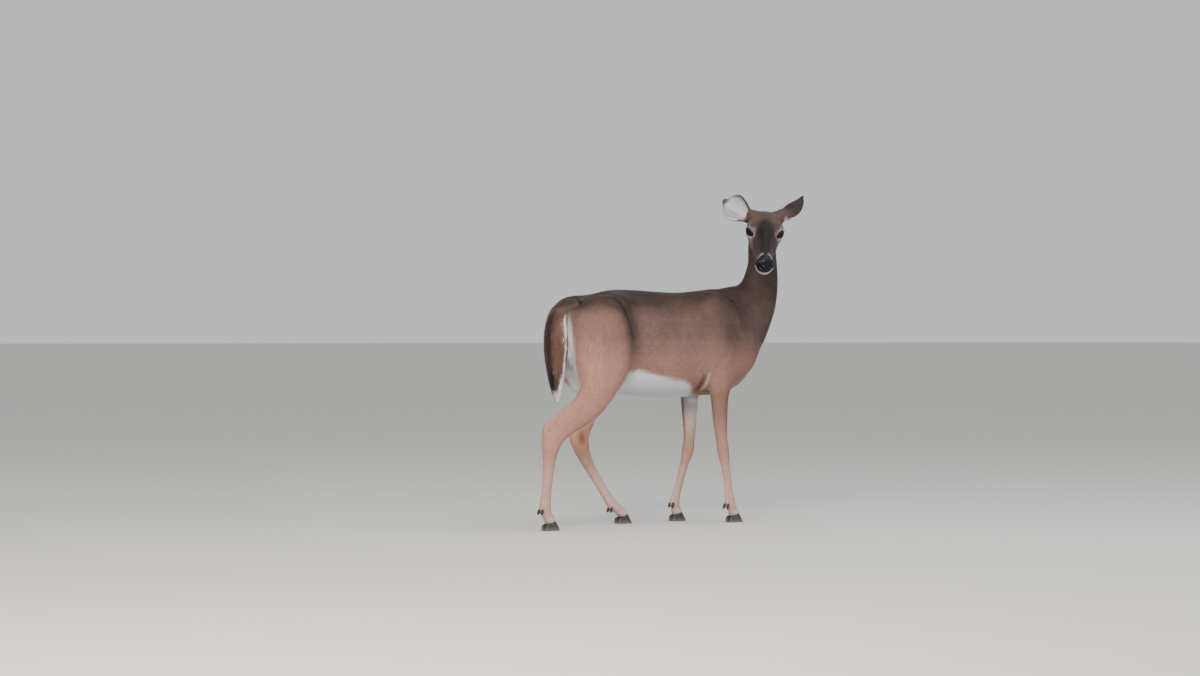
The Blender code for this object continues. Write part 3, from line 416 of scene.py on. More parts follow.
def head_shapes():
    rows = [  # ahead of the eyes, top, bottom, half width, narrowing toward the top
        (-0.118, 0.008, -0.045, 0.028, 0.00),
        (-0.100, 0.022, -0.060, 0.037, 0.00),
        (-0.075, 0.036, -0.070, 0.043, 0.00),
        (-0.040, 0.047, -0.073, 0.046, 0.00),
        (0.000, 0.045, -0.072, 0.045, -0.02),
        (0.030, 0.035, -0.069, 0.041, 0.00),
        (0.060, 0.023, -0.065, 0.0355, 0.10),
        (0.094, 0.012, -0.063, 0.0305, 0.15),
        (0.126, 0.003, -0.065, 0.0290, 0.10),
        (0.148, -0.004, -0.066, 0.0300, 0.05),
        (0.160, -0.014, -0.056, 0.0250, 0.00),
    ]
    skull = [list(on_head(x, 0, (t + b) / 2)) + [w, (t - b) / 2, k] for x, t, b, w, k in rows]
    bridge = [(0.020, 0, 0.026, 0.018, 0.012), (0.070, 0, 0.009, 0.015, 0.011),
              (0.118, 0, -0.004, 0.014, 0.010), (0.152, 0, -0.013, 0.015, 0.011)]
    bridge = [list(on_head(*b[:3])) + list(b[3:]) for b in bridge]
    shapes = [Tube(skull, HEAD[1], blend=0.025), Tube(bridge, HEAD[1], blend=0.014),
              head_lump((-0.040, 0, 0.026), (0.050, 0.047, 0.020), blend=0.018),  # forehead
              head_lump((0.130, 0, -0.062), (0.028, 0.020, 0.014), (1, 0, 0.1), blend=0.018)]  # chin
    for s in (-1, 1):
        forms = [  # centre, radii, the way of the first radius, fillet
            ((-0.006, 0.041, 0.023), (0.032, 0.020, 0.011), (1, -0.10, 0), 0.016),  # brow
            ((-0.020, 0.052, 0.006), (0.014, 0.011, 0.020), (1, 0, 0), 0.014),  # orbit
            ((0.004, 0.046, -0.014), (0.034, 0.013, 0.011), (1, -0.3, -0.15), 0.016),  # cheekbone
            ((-0.022, 0.035, -0.034), (0.050, 0.020, 0.034), (1, -0.1, -0.25), 0.018),  # jaw
            ((0.045, 0.028, -0.020), (0.045, 0.014, 0.026), (1, -0.22, -0.25), 0.018),  # face
            ((0.156, 0.021, -0.022), (0.016, 0.0150, 0.016), (1, 0, 0), 0.008),  # nostril
            ((0.134, 0.017, -0.042), (0.030, 0.013, 0.015), (1, 0, 0.05), 0.010),  # lip
            ((-0.074, 0.044, 0.017), (0.030, 0.024, 0.024), (1, 0, 0), 0.024),  # root of the ear
        ]
        shapes += [head_lump((x, s * y, z), radii, (ahead, s * out, rise), blend)
                   for (x, y, z), radii, (ahead, out, rise), blend in forms]
    return shapes


# Each ear: side, its root on the head, where its tip lies from the root, and where its opening faces
EARS = {
    "ear_right": (-1, (-0.078, -0.050, 0.010), (-0.0380, 0.1150, 0.0680), (-0.66, -0.72, 0.02)),
    "ear_left": (1, (-0.078, 0.041, 0.023), (0.1370, 0.0124, 0.0630), (0.90, -0.04, -0.35)),
}
EAR_HOLLOW = 0.014  # from an ear's axis back to the bottom of its hollow
EAR_PROFILE = [  # share of the length, arc radius, half angle in degrees, half thickness
    (-0.040, 0.0160, 150, 0.0050),
    (0.120, 0.0250, 118, 0.0048),
    (0.280, 0.0380, 99, 0.0040),
    (0.460, 0.0450, 82, 0.0036),
    (0.620, 0.0440, 69, 0.0033),
    (0.770, 0.0400, 53, 0.0031),
    (0.880, 0.0350, 36, 0.0030),
    (0.955, 0.0310, 19, 0.0029),
    (1.000, 0.0300, 6, 0.0028),
]


def ear_axes(name):
    """An ear's root and length, and the ways it points and opens."""
    _, root, reach, opening = EARS[name]
    axis, opening = unit(reach), np.array(opening)
    return on_head(*root), np.linalg.norm(reach), axis, unit(opening - (opening @ axis) * axis)


def ear_rows(name):
    """Rows along an ear: the arc's centre, radius, half angle and half thickness, and the way it opens."""
    root, length, axis, opening = ear_axes(name)
    rows = []
    for share, radius, angle, half in EAR_PROFILE:
        middle = root + axis * length * share + opening * (radius - EAR_HOLLOW)
        rows.append([*middle, radius, math.radians(angle), half, *opening])
    return smooth_rows(rows, 5)


# ---------------------------------------------------------------- nets


def grid_values(shapes, low, high, step, block=12):
    """The field on a grid. Blocks far from the surface take their middle's value."""
    size = (np.ceil((np.asarray(high) - low) / step / block) * block).astype(int)
    values = np.full(size, FAR)
    cell = np.stack(np.meshgrid(*[np.arange(block)] * 3, indexing="ij"), -1).reshape(-1, 3)
    half = block * step / 2
    for start in np.ndindex(*(size // block)):
        start = np.array(start) * block
        middle = low + start * step + half
        if not any((s.low < middle + half).all() and (s.high > middle - half).all() for s in shapes):
            continue
        here = tuple(slice(i, i + block) for i in start)
        value = field(shapes, middle[None])[0]
        if value < FAR and abs(value) > 1.8 * half + 0.03:
            values[here] = value
        else:
            values[here] = field(shapes, low + (start + cell) * step).reshape([block] * 3)
    return values


def untangled(values):
    """The grid with no cell face whose corners change sign twice, where a net would touch itself."""
    flat = values.ravel()
    strides = [values.shape[1] * values.shape[2], values.shape[2], 1]
    for _ in range(20):
        inside = values < 0
        found = []
        for a, b in ((0, 1), (1, 2), (0, 2)):
            parts = [[slice(0, m - (i in (a, b))) for i, m in enumerate(values.shape)] for _ in range(4)]
            parts[1][a] = parts[3][a] = slice(1, None)
            parts[2][b] = parts[3][b] = slice(1, None)
            s00, s10, s01, s11 = (inside[tuple(p)] for p in parts)
            at = np.argwhere((s00 == s11) & (s10 == s01) & (s00 != s10)) @ strides
            found.append(at[:, None] + np.array((0, strides[a], strides[b], strides[a] + strides[b])))
        faces = np.concatenate(found)
        if not len(faces):
            return values
        weakest = faces[np.arange(len(faces)), np.abs(flat[faces]).argmin(1)]
        flat[weakest] = np.where(flat[weakest] < 0, 1e-5, -1e-5)
    raise RuntimeError("the grid stays tangled")


def surface_net(values, low, step):
    """One vertex in each cell that the zero surface crosses, and quads between neighbours."""
    inside = values < 0
    n = values.shape
    corners = list(np.ndindex(2, 2, 2))
    count = sum(inside[a:n[0] - 1 + a, b:n[1] - 1 + b, c:n[2] - 1 + c].astype(int) for a, b, c in corners)
    cells = np.argwhere((count > 0) & (count < 8))
    number = np.full(count.shape, -1)
    number[tuple(cells.T)] = np.arange(len(cells))
    at_corner = {o: values[tuple((cells + o).T)] for o in corners}
    total, hits = np.zeros((len(cells), 3)), np.zeros(len(cells))
    for o in corners:
        for axis in range(3):
            if o[axis]:
                continue
            end = tuple(1 if i == axis else o[i] for i in range(3))
            va, vb = at_corner[o], at_corner[end]
            crossing = (va < 0) != (vb < 0)
            at = np.tile(np.array(o, float), (len(cells), 1))
            at[:, axis] += np.where(crossing, va / np.where(va == vb, 1, va - vb), 0)
            total += at * crossing[:, None]
            hits += crossing
    quads = []
    for axis in range(3):
        first, second = np.eye(3, dtype=int)[(axis + 1) % 3], np.eye(3, dtype=int)[(axis + 2) % 3]
        near = [slice(0, m - (i == axis)) for i, m in enumerate(n)]
        far = [slice(int(i == axis), m) for i, m in enumerate(n)]
        edges = np.argwhere(inside[tuple(near)] != inside[tuple(far)])
        edges = edges[((edges > 0) & (edges < np.array(n) - 1))[:, [(axis + 1) % 3, (axis + 2) % 3]].all(1)]
        ring = [number[tuple((edges - d).T)] for d in (first + second, second, 0 * first, first)]
        ring = np.stack(ring, 1)
        outward = ~inside[tuple(edges.T)]
        ring[outward] = ring[outward][:, ::-1]
        quads.append(ring)
    return low + (cells + total / hits[:, None]) * step, np.concatenate(quads)


# ---------------------------------------------------------------- skin


def ramp(value, start, end):
    """0 before start, 1 past end, smooth between. start may be the greater."""
    t = np.clip((value - start) / (end - start), 0, 1)
    return t * t * (3 - 2 * t)


def in_head(points):
    """Points in the head's axes: ahead of the eyes, left, and up."""
    return (points - HEAD_AT) @ HEAD.T


def line_gap(flat, line):
    """Distance from points in a plane to a chain of lines, and how far along it the nearest is, 0 to 1."""
    line = np.asarray(line, float)
    best, share = np.full(len(flat), FAR), np.zeros(len(flat))
    for i, (a, b) in enumerate(zip(line, line[1:])):
        t = np.clip((flat - a) @ (b - a) / ((b - a) @ (b - a)), 0, 1)
        gap = np.linalg.norm(flat - a - t[:, None] * (b - a), axis=1)
        share = np.where(gap < best, (i + t) / (len(line) - 1), share)
        best = np.minimum(best, gap)
    return best, share


# Folds of the hide in x and z: where the thigh meets the flank, and the turned neck the shoulder
FLANK_FOLD = [(-0.264, 0.790), (-0.234, 0.765), (-0.205, 0.731), (-0.180, 0.674), (-0.172, 0.606),
              (-0.184, 0.539), (-0.205, 0.492)]
FLANK_SHADE = [(x - 0.004, z) for x, z in FLANK_FOLD]
SHOULDER_FOLD = [(0.206, 0.800), (0.262, 0.786), (0.293, 0.742), (0.323, 0.677), (0.352, 0.612)]


def fold(points, line, side, width, fade):
    """1 along a fold of the hide on one side of the body, 0 away from it. It fades out between two shares
    of its length."""
    gap, share = line_gap(points[:, [0, 2]], line)
    beside = ramp(points[:, 1] * side, 0.015, 0.035)
    return np.exp(-(gap / width) ** 2) * beside * ramp(share, fade[1], fade[0])


def by_tail(points):
    """1 on the tail, 0 off it."""
    return ramp(tail_shapes()[0].distance(points), 0.0040, 0.0000) * ramp(points[:, 2], 0.740, 0.700)


def by_ear(points, name):
    """How far points lie along an ear's axis, and how far beside it."""
    root, _, axis, _ = ear_axes(name)
    along = (points - root) @ axis
    return along, np.linalg.norm(points - root - along[:, None] * axis, axis=1)


def eye_distance(points, side):
    """How far points lie from an eyeball's centre."""
    return np.linalg.norm(points - eye_axes(side)[0], axis=1)


def toward(value, other, share):
    """The value moved this share of the way to the other."""
    return value * (1 - share) + share * other


def coat_depth(points):
    """How far the hair tips stand off the skin."""
    x, y, z = points.T
    ahead = in_head(points)[:, 0]
    on_face = ramp(z, 0.80, 0.86) * ramp(ahead, -0.16, -0.08)
    depth = 0.0018 + 0.0032 * ramp(z, 0.30, 0.47)
    depth = toward(depth, 0.0034 - 0.0022 * ramp(ahead, -0.02, 0.10), on_face)
    for side in (-1, 1):
        depth = toward(depth, 0.0007, ramp(eye_distance(points, side), 0.034, 0.024))
    for name in EARS:
        along, beside = by_ear(points, name)
        depth = toward(depth, 0.0008, ramp(along, 0.010, 0.030) * ramp(beside, 0.085, 0.070))
    tail = ramp(x, -0.368, -0.384) * ramp(np.abs(y), 0.080, 0.066)
    depth = toward(depth, 0.0085, tail * ramp(z, 0.735, 0.700) * ramp(z, 0.38, 0.40))
    for line, width, deep in ((FLANK_FOLD, 0.008, 0.0050), (SHOULDER_FOLD, 0.009, 0.0045)):
        for side, share in ((-1, 1.0), (1, 0.5)):
            depth = depth + deep * share * fold(points, line, side, width, (0.3, 1.0))
    return depth


EYE_OPENING = (0.0145, 0.0130, 0.0098, 0.0086)  # toward the nose, toward the ear, up, down
NOSTRIL = [(0.0085, -0.0330), (0.0140, -0.0300), (0.0195, -0.0240), (0.0240, -0.0170), (0.0262, -0.0110)]
MOUTH = [(0.075, -0.0455), (0.100, -0.0440), (0.125, -0.0455), (0.148, -0.0485), (0.175, -0.0500)]
TEAR_GLAND = [(0.0150, -0.0010), (0.0230, -0.0050), (0.0310, -0.0100)]  # from the eye: toward the nose, up


def round_eye(points, side):
    """How far points lie outside the eye opening, and their places along the gaze, to the nose and up."""
    centre, out, nose, up = eye_axes(side)
    ahead, across, rise = ((points - centre) @ axis for axis in (out, nose, up))
    wide = np.where(across > 0, EYE_OPENING[0], EYE_OPENING[1])
    high = np.where(rise > 0, EYE_OPENING[2], EYE_OPENING[3])
    gap = np.abs(rise) / high + (across / wide) ** 2 - 1
    return gap / np.hypot(2 * across / wide ** 2, 1 / high), ahead, across, rise


def face_shapes():
    """The nose pad, and the lids' bulge over each eyeball."""
    shapes = [Lump(on_head(*NOSE_AT), NOSE_RADII, HEAD[0], HEAD[1], 0.003)]
    for side in (-1, 1):
        centre, out, nose, _ = eye_axes(side)
        shapes.append(Lump(centre, (EYE_RADIUS + 0.0018, 0.0225, 0.0205), out, nose, 0.010))
    return shapes


def pit_depth(points):
    """How deep the nostrils, the groove below the nose, the mouth and the tear glands lie."""
    x, y, z = in_head(points).T
    gap, share = line_gap(np.stack([np.abs(y), z], 1), NOSTRIL)
    wide = 0.0042 - 0.0014 * share
    deep = (0.0046 - 0.0022 * share) * np.exp(-(gap / wide) ** 2) * ramp(x, 0.144, 0.156)
    deep += 0.0012 * np.exp(-(y / 0.0013) ** 2) * ramp(x, 0.160, 0.165) * ramp(z, -0.021, -0.025)
    gap, share = line_gap(np.stack([x, z], 1), MOUTH)
    deep += 0.0018 * np.exp(-(gap / 0.0019) ** 2) * ramp(share, 0.0, 0.25)
    for side in (-1, 1):
        _, ahead, across, rise = round_eye(points, side)
        gap, share = line_gap(np.stack([across, rise], 1), TEAR_GLAND)
        deep += 0.0018 * np.exp(-(gap / 0.0022) ** 2) * (ahead > 0) * ramp(share, 1.0, 0.6)
    return deep


def lid_height(gap, rise):
    """How far from the eyeball's centre the skin lies, from inside the opening to outside it."""
    upper = ramp(rise, -0.002, 0.002)
    over = 0.0034 * ramp(gap, -0.0024, 0.0022) - 0.0016
    crease = (0.0004 + 0.0005 * upper) * np.exp(-((gap - 0.0052) / 0.0015) ** 2)
    return EYE_RADIUS + over + 0.0005 * upper * ramp(gap, -0.0005, 0.0020) - crease


def flesh():
    """The body's shapes, without the ears, the nose pad and the lids."""
    return trunk_shapes() + neck_shapes() + leg_shapes() + tail_shapes() + head_shapes()


def skin_gap(shapes, points, chunk=20000):
    """The skin's field: below zero inside it."""
    out = []
    for part in np.array_split(points, len(points) // chunk + 1):
        value = field(shapes, part) + coat_depth(part)
        face = by_face(part)
        value[face] += pit_depth(part[face])
        for side in (-1, 1):
            close = eye_distance(part, side) < 0.036
            gap, ahead, _, rise = round_eye(part[close], side)
            near = ramp(gap, 0.0120, 0.0040) * ramp(ahead, 0.0, 0.004)
            lid = eye_distance(part[close], side) - lid_height(gap, rise)
            value[close] += near * (lid - value[close])
        out.append(value)
    return np.concatenate(out)


def skin_slope(shapes, points, step=4e-4):
    """How fast the skin's field grows along x, y and z."""
    total = np.zeros_like(points)
    for way in ((1, -1, -1), (-1, -1, 1), (-1, 1, -1), (1, 1, 1)):
        way = np.array(way, float)
        total += way * skin_gap(shapes, points + way * step)[:, None]
    return total / (4 * step)


def by_face(points):
    """On the front of the head, where the skin's details are."""
    return (points[:, 2] > 0.80) & (in_head(points)[:, 0] > -0.032)


def by_details(points):
    """Near the eyes, nose and mouth."""
    x, _, z = in_head(points).T
    near = (x > 0.146) | ((np.abs(z + 0.047) < 0.005) & (x > 0.085))
    for side in (-1, 1):
        near |= eye_distance(points, side) < 0.0255
    return near & by_face(points)


def by_small_forms(points):
    """Where the body's net is too coarse: head, ears, legs and tail."""
    x, _, z = points.T
    return (z < 0.43) | (in_head(points)[:, 0] > -0.09) & (z > 0.83) | (z > 0.985) | (x < -0.385)


def refine(bm, near):
    """Halves the net's edges where near says so."""
    bm.faces.ensure_lookup_table()
    middles = np.array([face.calc_center_median() for face in bm.faces])
    edges = {edge for i in np.flatnonzero(near(middles)) for edge in bm.faces[i].edges}
    bmesh.ops.subdivide_edges(bm, edges=list(edges), cuts=1, use_grid_fill=True)


def relaxed(points, edges, share):
    """Each point moved toward the middle of its neighbours."""
    total, count = np.zeros_like(points), np.zeros(len(points))
    for a, b in ((0, 1), (1, 0)):
        count += np.bincount(edges[:, a], minlength=len(points))
        for axis in range(3):
            total[:, axis] += np.bincount(edges[:, a], points[edges[:, b], axis], len(points))
    return points + share * (total / count[:, None] - points)


def settled(bm, shapes, rounds, near=None):
    """Smooths the net, or the part of it that near picks, and lays it on the skin, over and over."""
    bm.verts.index_update()
    points = np.array([vert.co for vert in bm.verts])
    edges = np.array([[vert.index for vert in edge.verts] for edge in bm.edges])
    loose = np.flatnonzero(near(points)) if near else np.arange(len(points))
    for turn in range(rounds):
        moved = relaxed(points, edges, 0.5 if turn < rounds - 1 else 0.2)[loose]
        slope = skin_slope(shapes, moved)
        steep = np.maximum((slope ** 2).sum(1), 0.6)
        for _ in range(2):
            moved -= slope * (np.clip(skin_gap(shapes, moved), -0.003, 0.003) / steep)[:, None]
        points[loose] = moved
    for vert, point in zip(bm.verts, points):
        vert.co = point


def skin_net(step, rounds):
    """The skin as a bmesh, before the middle is taken off: a net of the whole animal, finer where its forms
    are small."""
    # the ears are thinner than the first net's spacing, so it is drawn round thicker ones
    thick_ears = [ear_rows(name) for name in EARS]
    for rows in thick_ears:
        rows[:, 5] = np.maximum(rows[:, 5] + step / 2, step * 1.1)
    plain = flesh() + [Cup(rows) for rows in thick_ears]
    low = np.min([shape.low for shape in plain], 0)
    high = np.max([shape.high for shape in plain], 0)
    verts, quads = surface_net(untangled(grid_values(plain, low, high, step)), low, step)
    bm = bmesh.new()
    for vert in verts:
        bm.verts.new(vert)
    bm.verts.ensure_lookup_table()
    for quad in quads:
        bm.faces.new([bm.verts[i] for i in quad])
    shapes = flesh() + face_shapes() + [Cup(ear_rows(name)) for name in EARS]
    settled(bm, shapes, 1)
    for near in (by_small_forms, by_face, by_details):
        refine(bm, near)
    settled(bm, shapes, rounds)
    settled(bm, shapes, 2 * rounds, by_details)
    return bm


# ---------------------------------------------------------------- markings


def wobble(points, size, seed=0.0):
    """Smooth waves of about this size, from -1 to 1, that break a marking's edge up."""
    p = points * (2 * math.pi / size) + seed
    x, y, z = p.T
    return (np.sin(x + 1.7 * np.sin(0.6 * z + seed)) + np.sin(y * 1.13 + 1.3 * np.sin(0.8 * x))
            + np.sin(z * 0.94 + 1.5 * np.sin(0.7 * y))) / 3


def spot(points, centre, radii, edge):
    """1 inside an ellipsoid, 0 outside, with an edge this soft."""
    return ramp(ellipsoid_gap(points - np.asarray(centre), np.asarray(radii)), edge, -edge)


def leg_gaps(points, side, stations):
    """How far ahead of a leg's axis and how far out from it points lie, and its half depth and half width
    there."""
    x, y, z = points.T
    rows = np.array(stations)[::-1]
    middle, out, width, depth = (np.interp(z, rows[:, 2], rows[:, i]) for i in (0, 1, 3, 4))
    return x - middle, y * side - out, depth, width


def leg_places(points):
    """For each leg: whether it is a foreleg, its side, how far ahead of its axis and how far out from it the
    points lie, as shares of its half depth and half width, and 1 on it."""
    for name, (side, stations, _, _) in FEET.items():
        ahead, out, depth, width = leg_gaps(points, side, stations)
        mine = (np.abs(ahead) < depth * 1.8 + 0.012) & (points[:, 1] * side > 0)
        mine &= points[:, 2] < stations[0][2]
        yield name.startswith("fore"), side, ahead / depth, out / width, mine


# Upper edge of the white belly, x and z, from the flank to the elbow
BELLY_EDGE = [(-0.23, 0.480), (-0.20, 0.516), (-0.14, 0.523), (-0.07, 0.506), (0.00, 0.492), (0.05, 0.486),
              (0.09, 0.468), (0.12, 0.440), (0.20, 0.425), (0.30, 0.420)]
# The glands inside the right and left hock
HOCK_GLANDS = [(-0.492, -0.083, 0.292), (-0.252, 0.073, 0.296)]
# Shade in the folds: line, width, strength, and the shares of its length between which it fades out
FOLD_SHADES = [(FLANK_FOLD, 0.0130, 1.00, (0.35, 0.75)), (FLANK_FOLD, 0.0150, 0.70, (0.5, 1.0)),
               (SHOULDER_FOLD, 0.0130, 0.98, (0.20, 0.75))]


class Marks:
    """The coat's masks while they are painted. Warm is 0 for the grey-brown of the back, 0.5 for tan and 1
    for rust."""

    def __init__(self, points, normals):
        self.points, self.normals = points, normals
        # breaks the edges of the markings up, -1 to 1
        self.ragged = wobble(points, 0.028) * 0.6 + wobble(points, 0.011, 2.0) * 0.4
        self.white, self.warm, self.dark, self.bare = (np.zeros(len(points)) for _ in range(4))

    def whiten(self, amount):
        self.white = np.maximum(self.white, amount)

    def darken(self, amount):
        self.dark = np.maximum(self.dark, amount)


def mark_trunk(coat):
    """Light warm haunches and lower flanks, a dark back and neck that is partly their own darker hair and
    partly painted shade, painted shade along the haunch and behind the neck, a painted highlight on the
    shoulder blade, and a white belly and brisket.
    """
    points, ragged, facing_up = coat.points, coat.ragged, coat.normals[:, 2]
    x, y, z = points.T
    haunch = ramp(x, -0.15, -0.23) * ramp(z, 0.77, 0.66)
    coat.warm += 0.09 + 0.24 * ramp(z, 0.66, 0.50) + 0.15 * haunch + 0.05 * wobble(points, 0.17, 1.0)
    coat.warm += 0.025 * wobble(points, 0.045, 5.0)
    # a darker back: partly the coat's own darker hair, partly painted shade
    coat.dark += 0.46 * ramp(facing_up, 0.10, 0.85) * ramp(z, 0.68, 0.75) + 0.14 * ramp(z, 0.68, 0.78)
    coat.dark += (0.08 * np.clip(wobble(points, 0.21, 3.0), 0, 1)
                  + 0.04 * np.clip(wobble(points, 0.06, 7.0), 0, 1))
    # darker shoulders, neck and loins: partly their own hair, partly painted shade
    coat.dark += (0.30 * ramp(x, 0.12, 0.26) * ramp(z, 0.52, 0.64)
                  + 0.12 * ramp(z, 0.68, 0.80) * ramp(x, 0.20, 0.30))
    coat.dark += 0.38 * ramp(x, 0.06, -0.08) * ramp(z, 0.70, 0.77) + 0.08 * ramp(x, 0.16, 0.26)
    # painted shade along the haunch and behind the neck, and a painted highlight on the shoulder blade
    for side in (-1, 1):
        coat.dark += 0.70 * fold(points, FLANK_SHADE, side, 0.036, (0.55, 0.95))
        coat.dark += 0.22 * fold(points, SHOULDER_FOLD, side, 0.026, (0.5, 1.0))
    coat.dark *= 1 - 0.45 * spot(points, (0.175, 0, 0.66), (0.026, 0.30, 0.080), 0.022)
    coat.dark = np.minimum(coat.dark, 0.70 - 0.03 * ramp(x, 0.24, 0.34))
    # white belly and brisket
    edge = np.interp(x, *np.array(BELLY_EDGE).T)
    belly = ramp(z - edge + ragged * 0.005, 0.009, -0.009) * ramp(facing_up, 0.75, 0.2)
    belly *= ramp(x, -0.36, -0.33) * ramp(z, 0.395, 0.415) * ramp(x, 0.36, 0.30)
    on_legs = np.zeros(len(points))
    for fore, _, ahead, out, mine in leg_places(points):
        share = mine * ramp(out, -0.75, -0.45) * ramp(np.abs(y), 0.050, 0.062)
        share = share * ramp(np.abs(ahead) + 0.1 * ragged, 1.45, 1.10)
        on_legs = np.maximum(on_legs, share * (ramp(z, 0.505, 0.490) if fore else ramp(z, 0.560, 0.540)))
    coat.whiten(belly * (1 - on_legs))


def mark_legs(coat):
    """Tan outside, paler inside and down the shanks, with rust glands inside the hocks."""
    points, normals, ragged = coat.points, coat.normals, coat.ragged
    y, z = points[:, 1], points[:, 2]
    for fore, side, ahead, out, mine in leg_places(points):
        low = ramp(z, 0.52, 0.30) * mine
        coat.warm = np.maximum(coat.warm, low * (0.42 + 0.10 * ramp(z, 0.25, 0.10) if fore else 0.52))
        coat.dark *= 1 - low
        inner = ramp(out + 0.15 * ragged, 0.0, -0.5) * mine * ramp(normals[:, 1] * side, 0.15, -0.35)
        if fore:
            coat.whiten(inner * ramp(z, 0.25, 0.38) * 0.55)
            streak = ramp(ahead + 0.1 * ragged, -0.50, -0.85) * mine * ramp(normals[:, 0], -0.1, -0.7)
            coat.whiten(streak * ramp(z, 0.17, 0.13) * ramp(z, 0.05, 0.07) * 0.30)
            greyer = 0.30 * ramp(z, 0.22, 0.42) + 0.18 * ramp(ahead, 0.0, 0.8)
            coat.darken(mine * greyer * ramp(z, 0.08, 0.24) * ramp(z, 0.50, 0.42))
        else:
            coat.whiten(inner * ramp(z, 0.32, 0.38) * 0.70)
            coat.whiten(inner * ramp(z, 0.22, 0.10) * 0.25)
        # paler shanks, and pale hair round the coronet
        coat.whiten(mine * ramp(z, 0.26, 0.16) * (0.13 + 0.05 * ragged))
        coat.whiten(mine * ramp(z, 0.050, 0.036) * 0.35)
        coat.darken(mine * ramp(z, 0.040, 0.030) * 0.35)
    # painted shade in the hollow behind the elbow, with a white streak ahead of it
    outside = ramp(np.abs(y), 0.050, 0.070)
    coat.darken(0.82 * outside * spot(points, (0.130, 0, 0.474), (0.008, 0.20, 0.034), 0.014))
    coat.whiten(0.70 * outside * spot(points, (0.153, 0, 0.480), (0.0035, 0.20, 0.034), 0.006))
    # rust gland tufts with dark middles
    for at in HOCK_GLANDS:
        gland = spot(points, at, (0.020, 0.020, 0.030), 0.014)
        coat.warm = np.maximum(coat.warm, 0.88 * gland)
        coat.dark = coat.dark * (1 - gland)
        coat.darken(spot(points, at, (0.004, 0.020, 0.006), 0.005) * 0.35)
        coat.white *= 1 - gland


def mark_rump(coat):
    """A pale patch between the thighs and under the tail."""
    points = coat.points
    x, y, z = points.T
    rump = spot(points, (-0.385, 0, 0.580), (0.060, 0.080, 0.140), 0.012)
    coat.whiten(rump * ramp(coat.normals[:, 0], 0.05, -0.40) * 0.85)
    thighs = ramp(np.abs(y), 0.075, 0.055) * ramp(z, 0.56, 0.52) * ramp(z, 0.36, 0.40)
    coat.whiten(thighs * ramp(x, -0.15, -0.19) * ramp(x, -0.42, -0.40))


def mark_tail(coat):
    """Grey-brown, a dark line down it, rust toward its right edge, white under it and at its tip."""
    points, normals, ragged = coat.points, coat.normals, coat.ragged
    y, z = points[:, 1], points[:, 2]
    on_tail = by_tail(points)
    facing = np.degrees(np.arctan2(-normals[:, 1], -normals[:, 0])) + 8 * ragged  # 0 for straight back
    rows = np.array(tail_shapes()[0].rows)[::-1]
    aside = -y / np.interp(z, rows[:, 2], rows[:, 3]) + 0.25 * ragged
    rusty = ramp(aside, 0.10, 0.85) * ramp(z, 0.720, 0.640)
    line = np.exp(-((aside + 0.05) / 0.25) ** 2)
    dark = 0.72 - 0.07 * rusty + 0.18 * line + 0.14 * ramp(z, 0.56, 0.47)
    edge = 90 - 60 * ramp(z, 0.56, 0.45)
    below = np.maximum(ramp(facing, edge - 5, edge + 5), ramp(facing, -96, -108) * ramp(z, 0.52, 0.48))
    tip = ramp(z + 0.010 * ragged - 0.00030 * (facing - 40), 0.476, 0.456)
    coat.warm = toward(coat.warm, 0.22 + 0.60 * rusty, on_tail)
    coat.dark = toward(coat.dark, dark, on_tail)
    coat.white = coat.white * (1 - on_tail) + on_tail * np.maximum(below, tip) * ramp(z, 0.715, 0.690)


def on_skull(points):
    """1 on the head, 0 off it."""
    ahead, _, up = in_head(points).T
    return ramp(points[:, 2], 0.80, 0.86) * ramp(ahead, -0.13, -0.07) * ramp(up, -0.095, -0.080)


def nose_pad(points):
    """1 on the bare nose, 0 off it."""
    ahead, out, up = in_head(points).T
    gap = np.hypot(out / 0.0350, (up + 0.0235) / 0.0265) - 1
    pad = ramp(gap, 0.06, 0.00) * ramp(ahead, 0.1380, 0.1420) * ramp(up, -0.0475, -0.0455)
    return pad * on_skull(points)


# Half width of the bridge's dark stripe, by how far ahead of the eyes
BRIDGE_STRIPE = [(-0.05, 0.000), (-0.01, 0.016), (0.025, 0.028), (0.06, 0.023), (0.13, 0.018), (0.16, 0.015)]


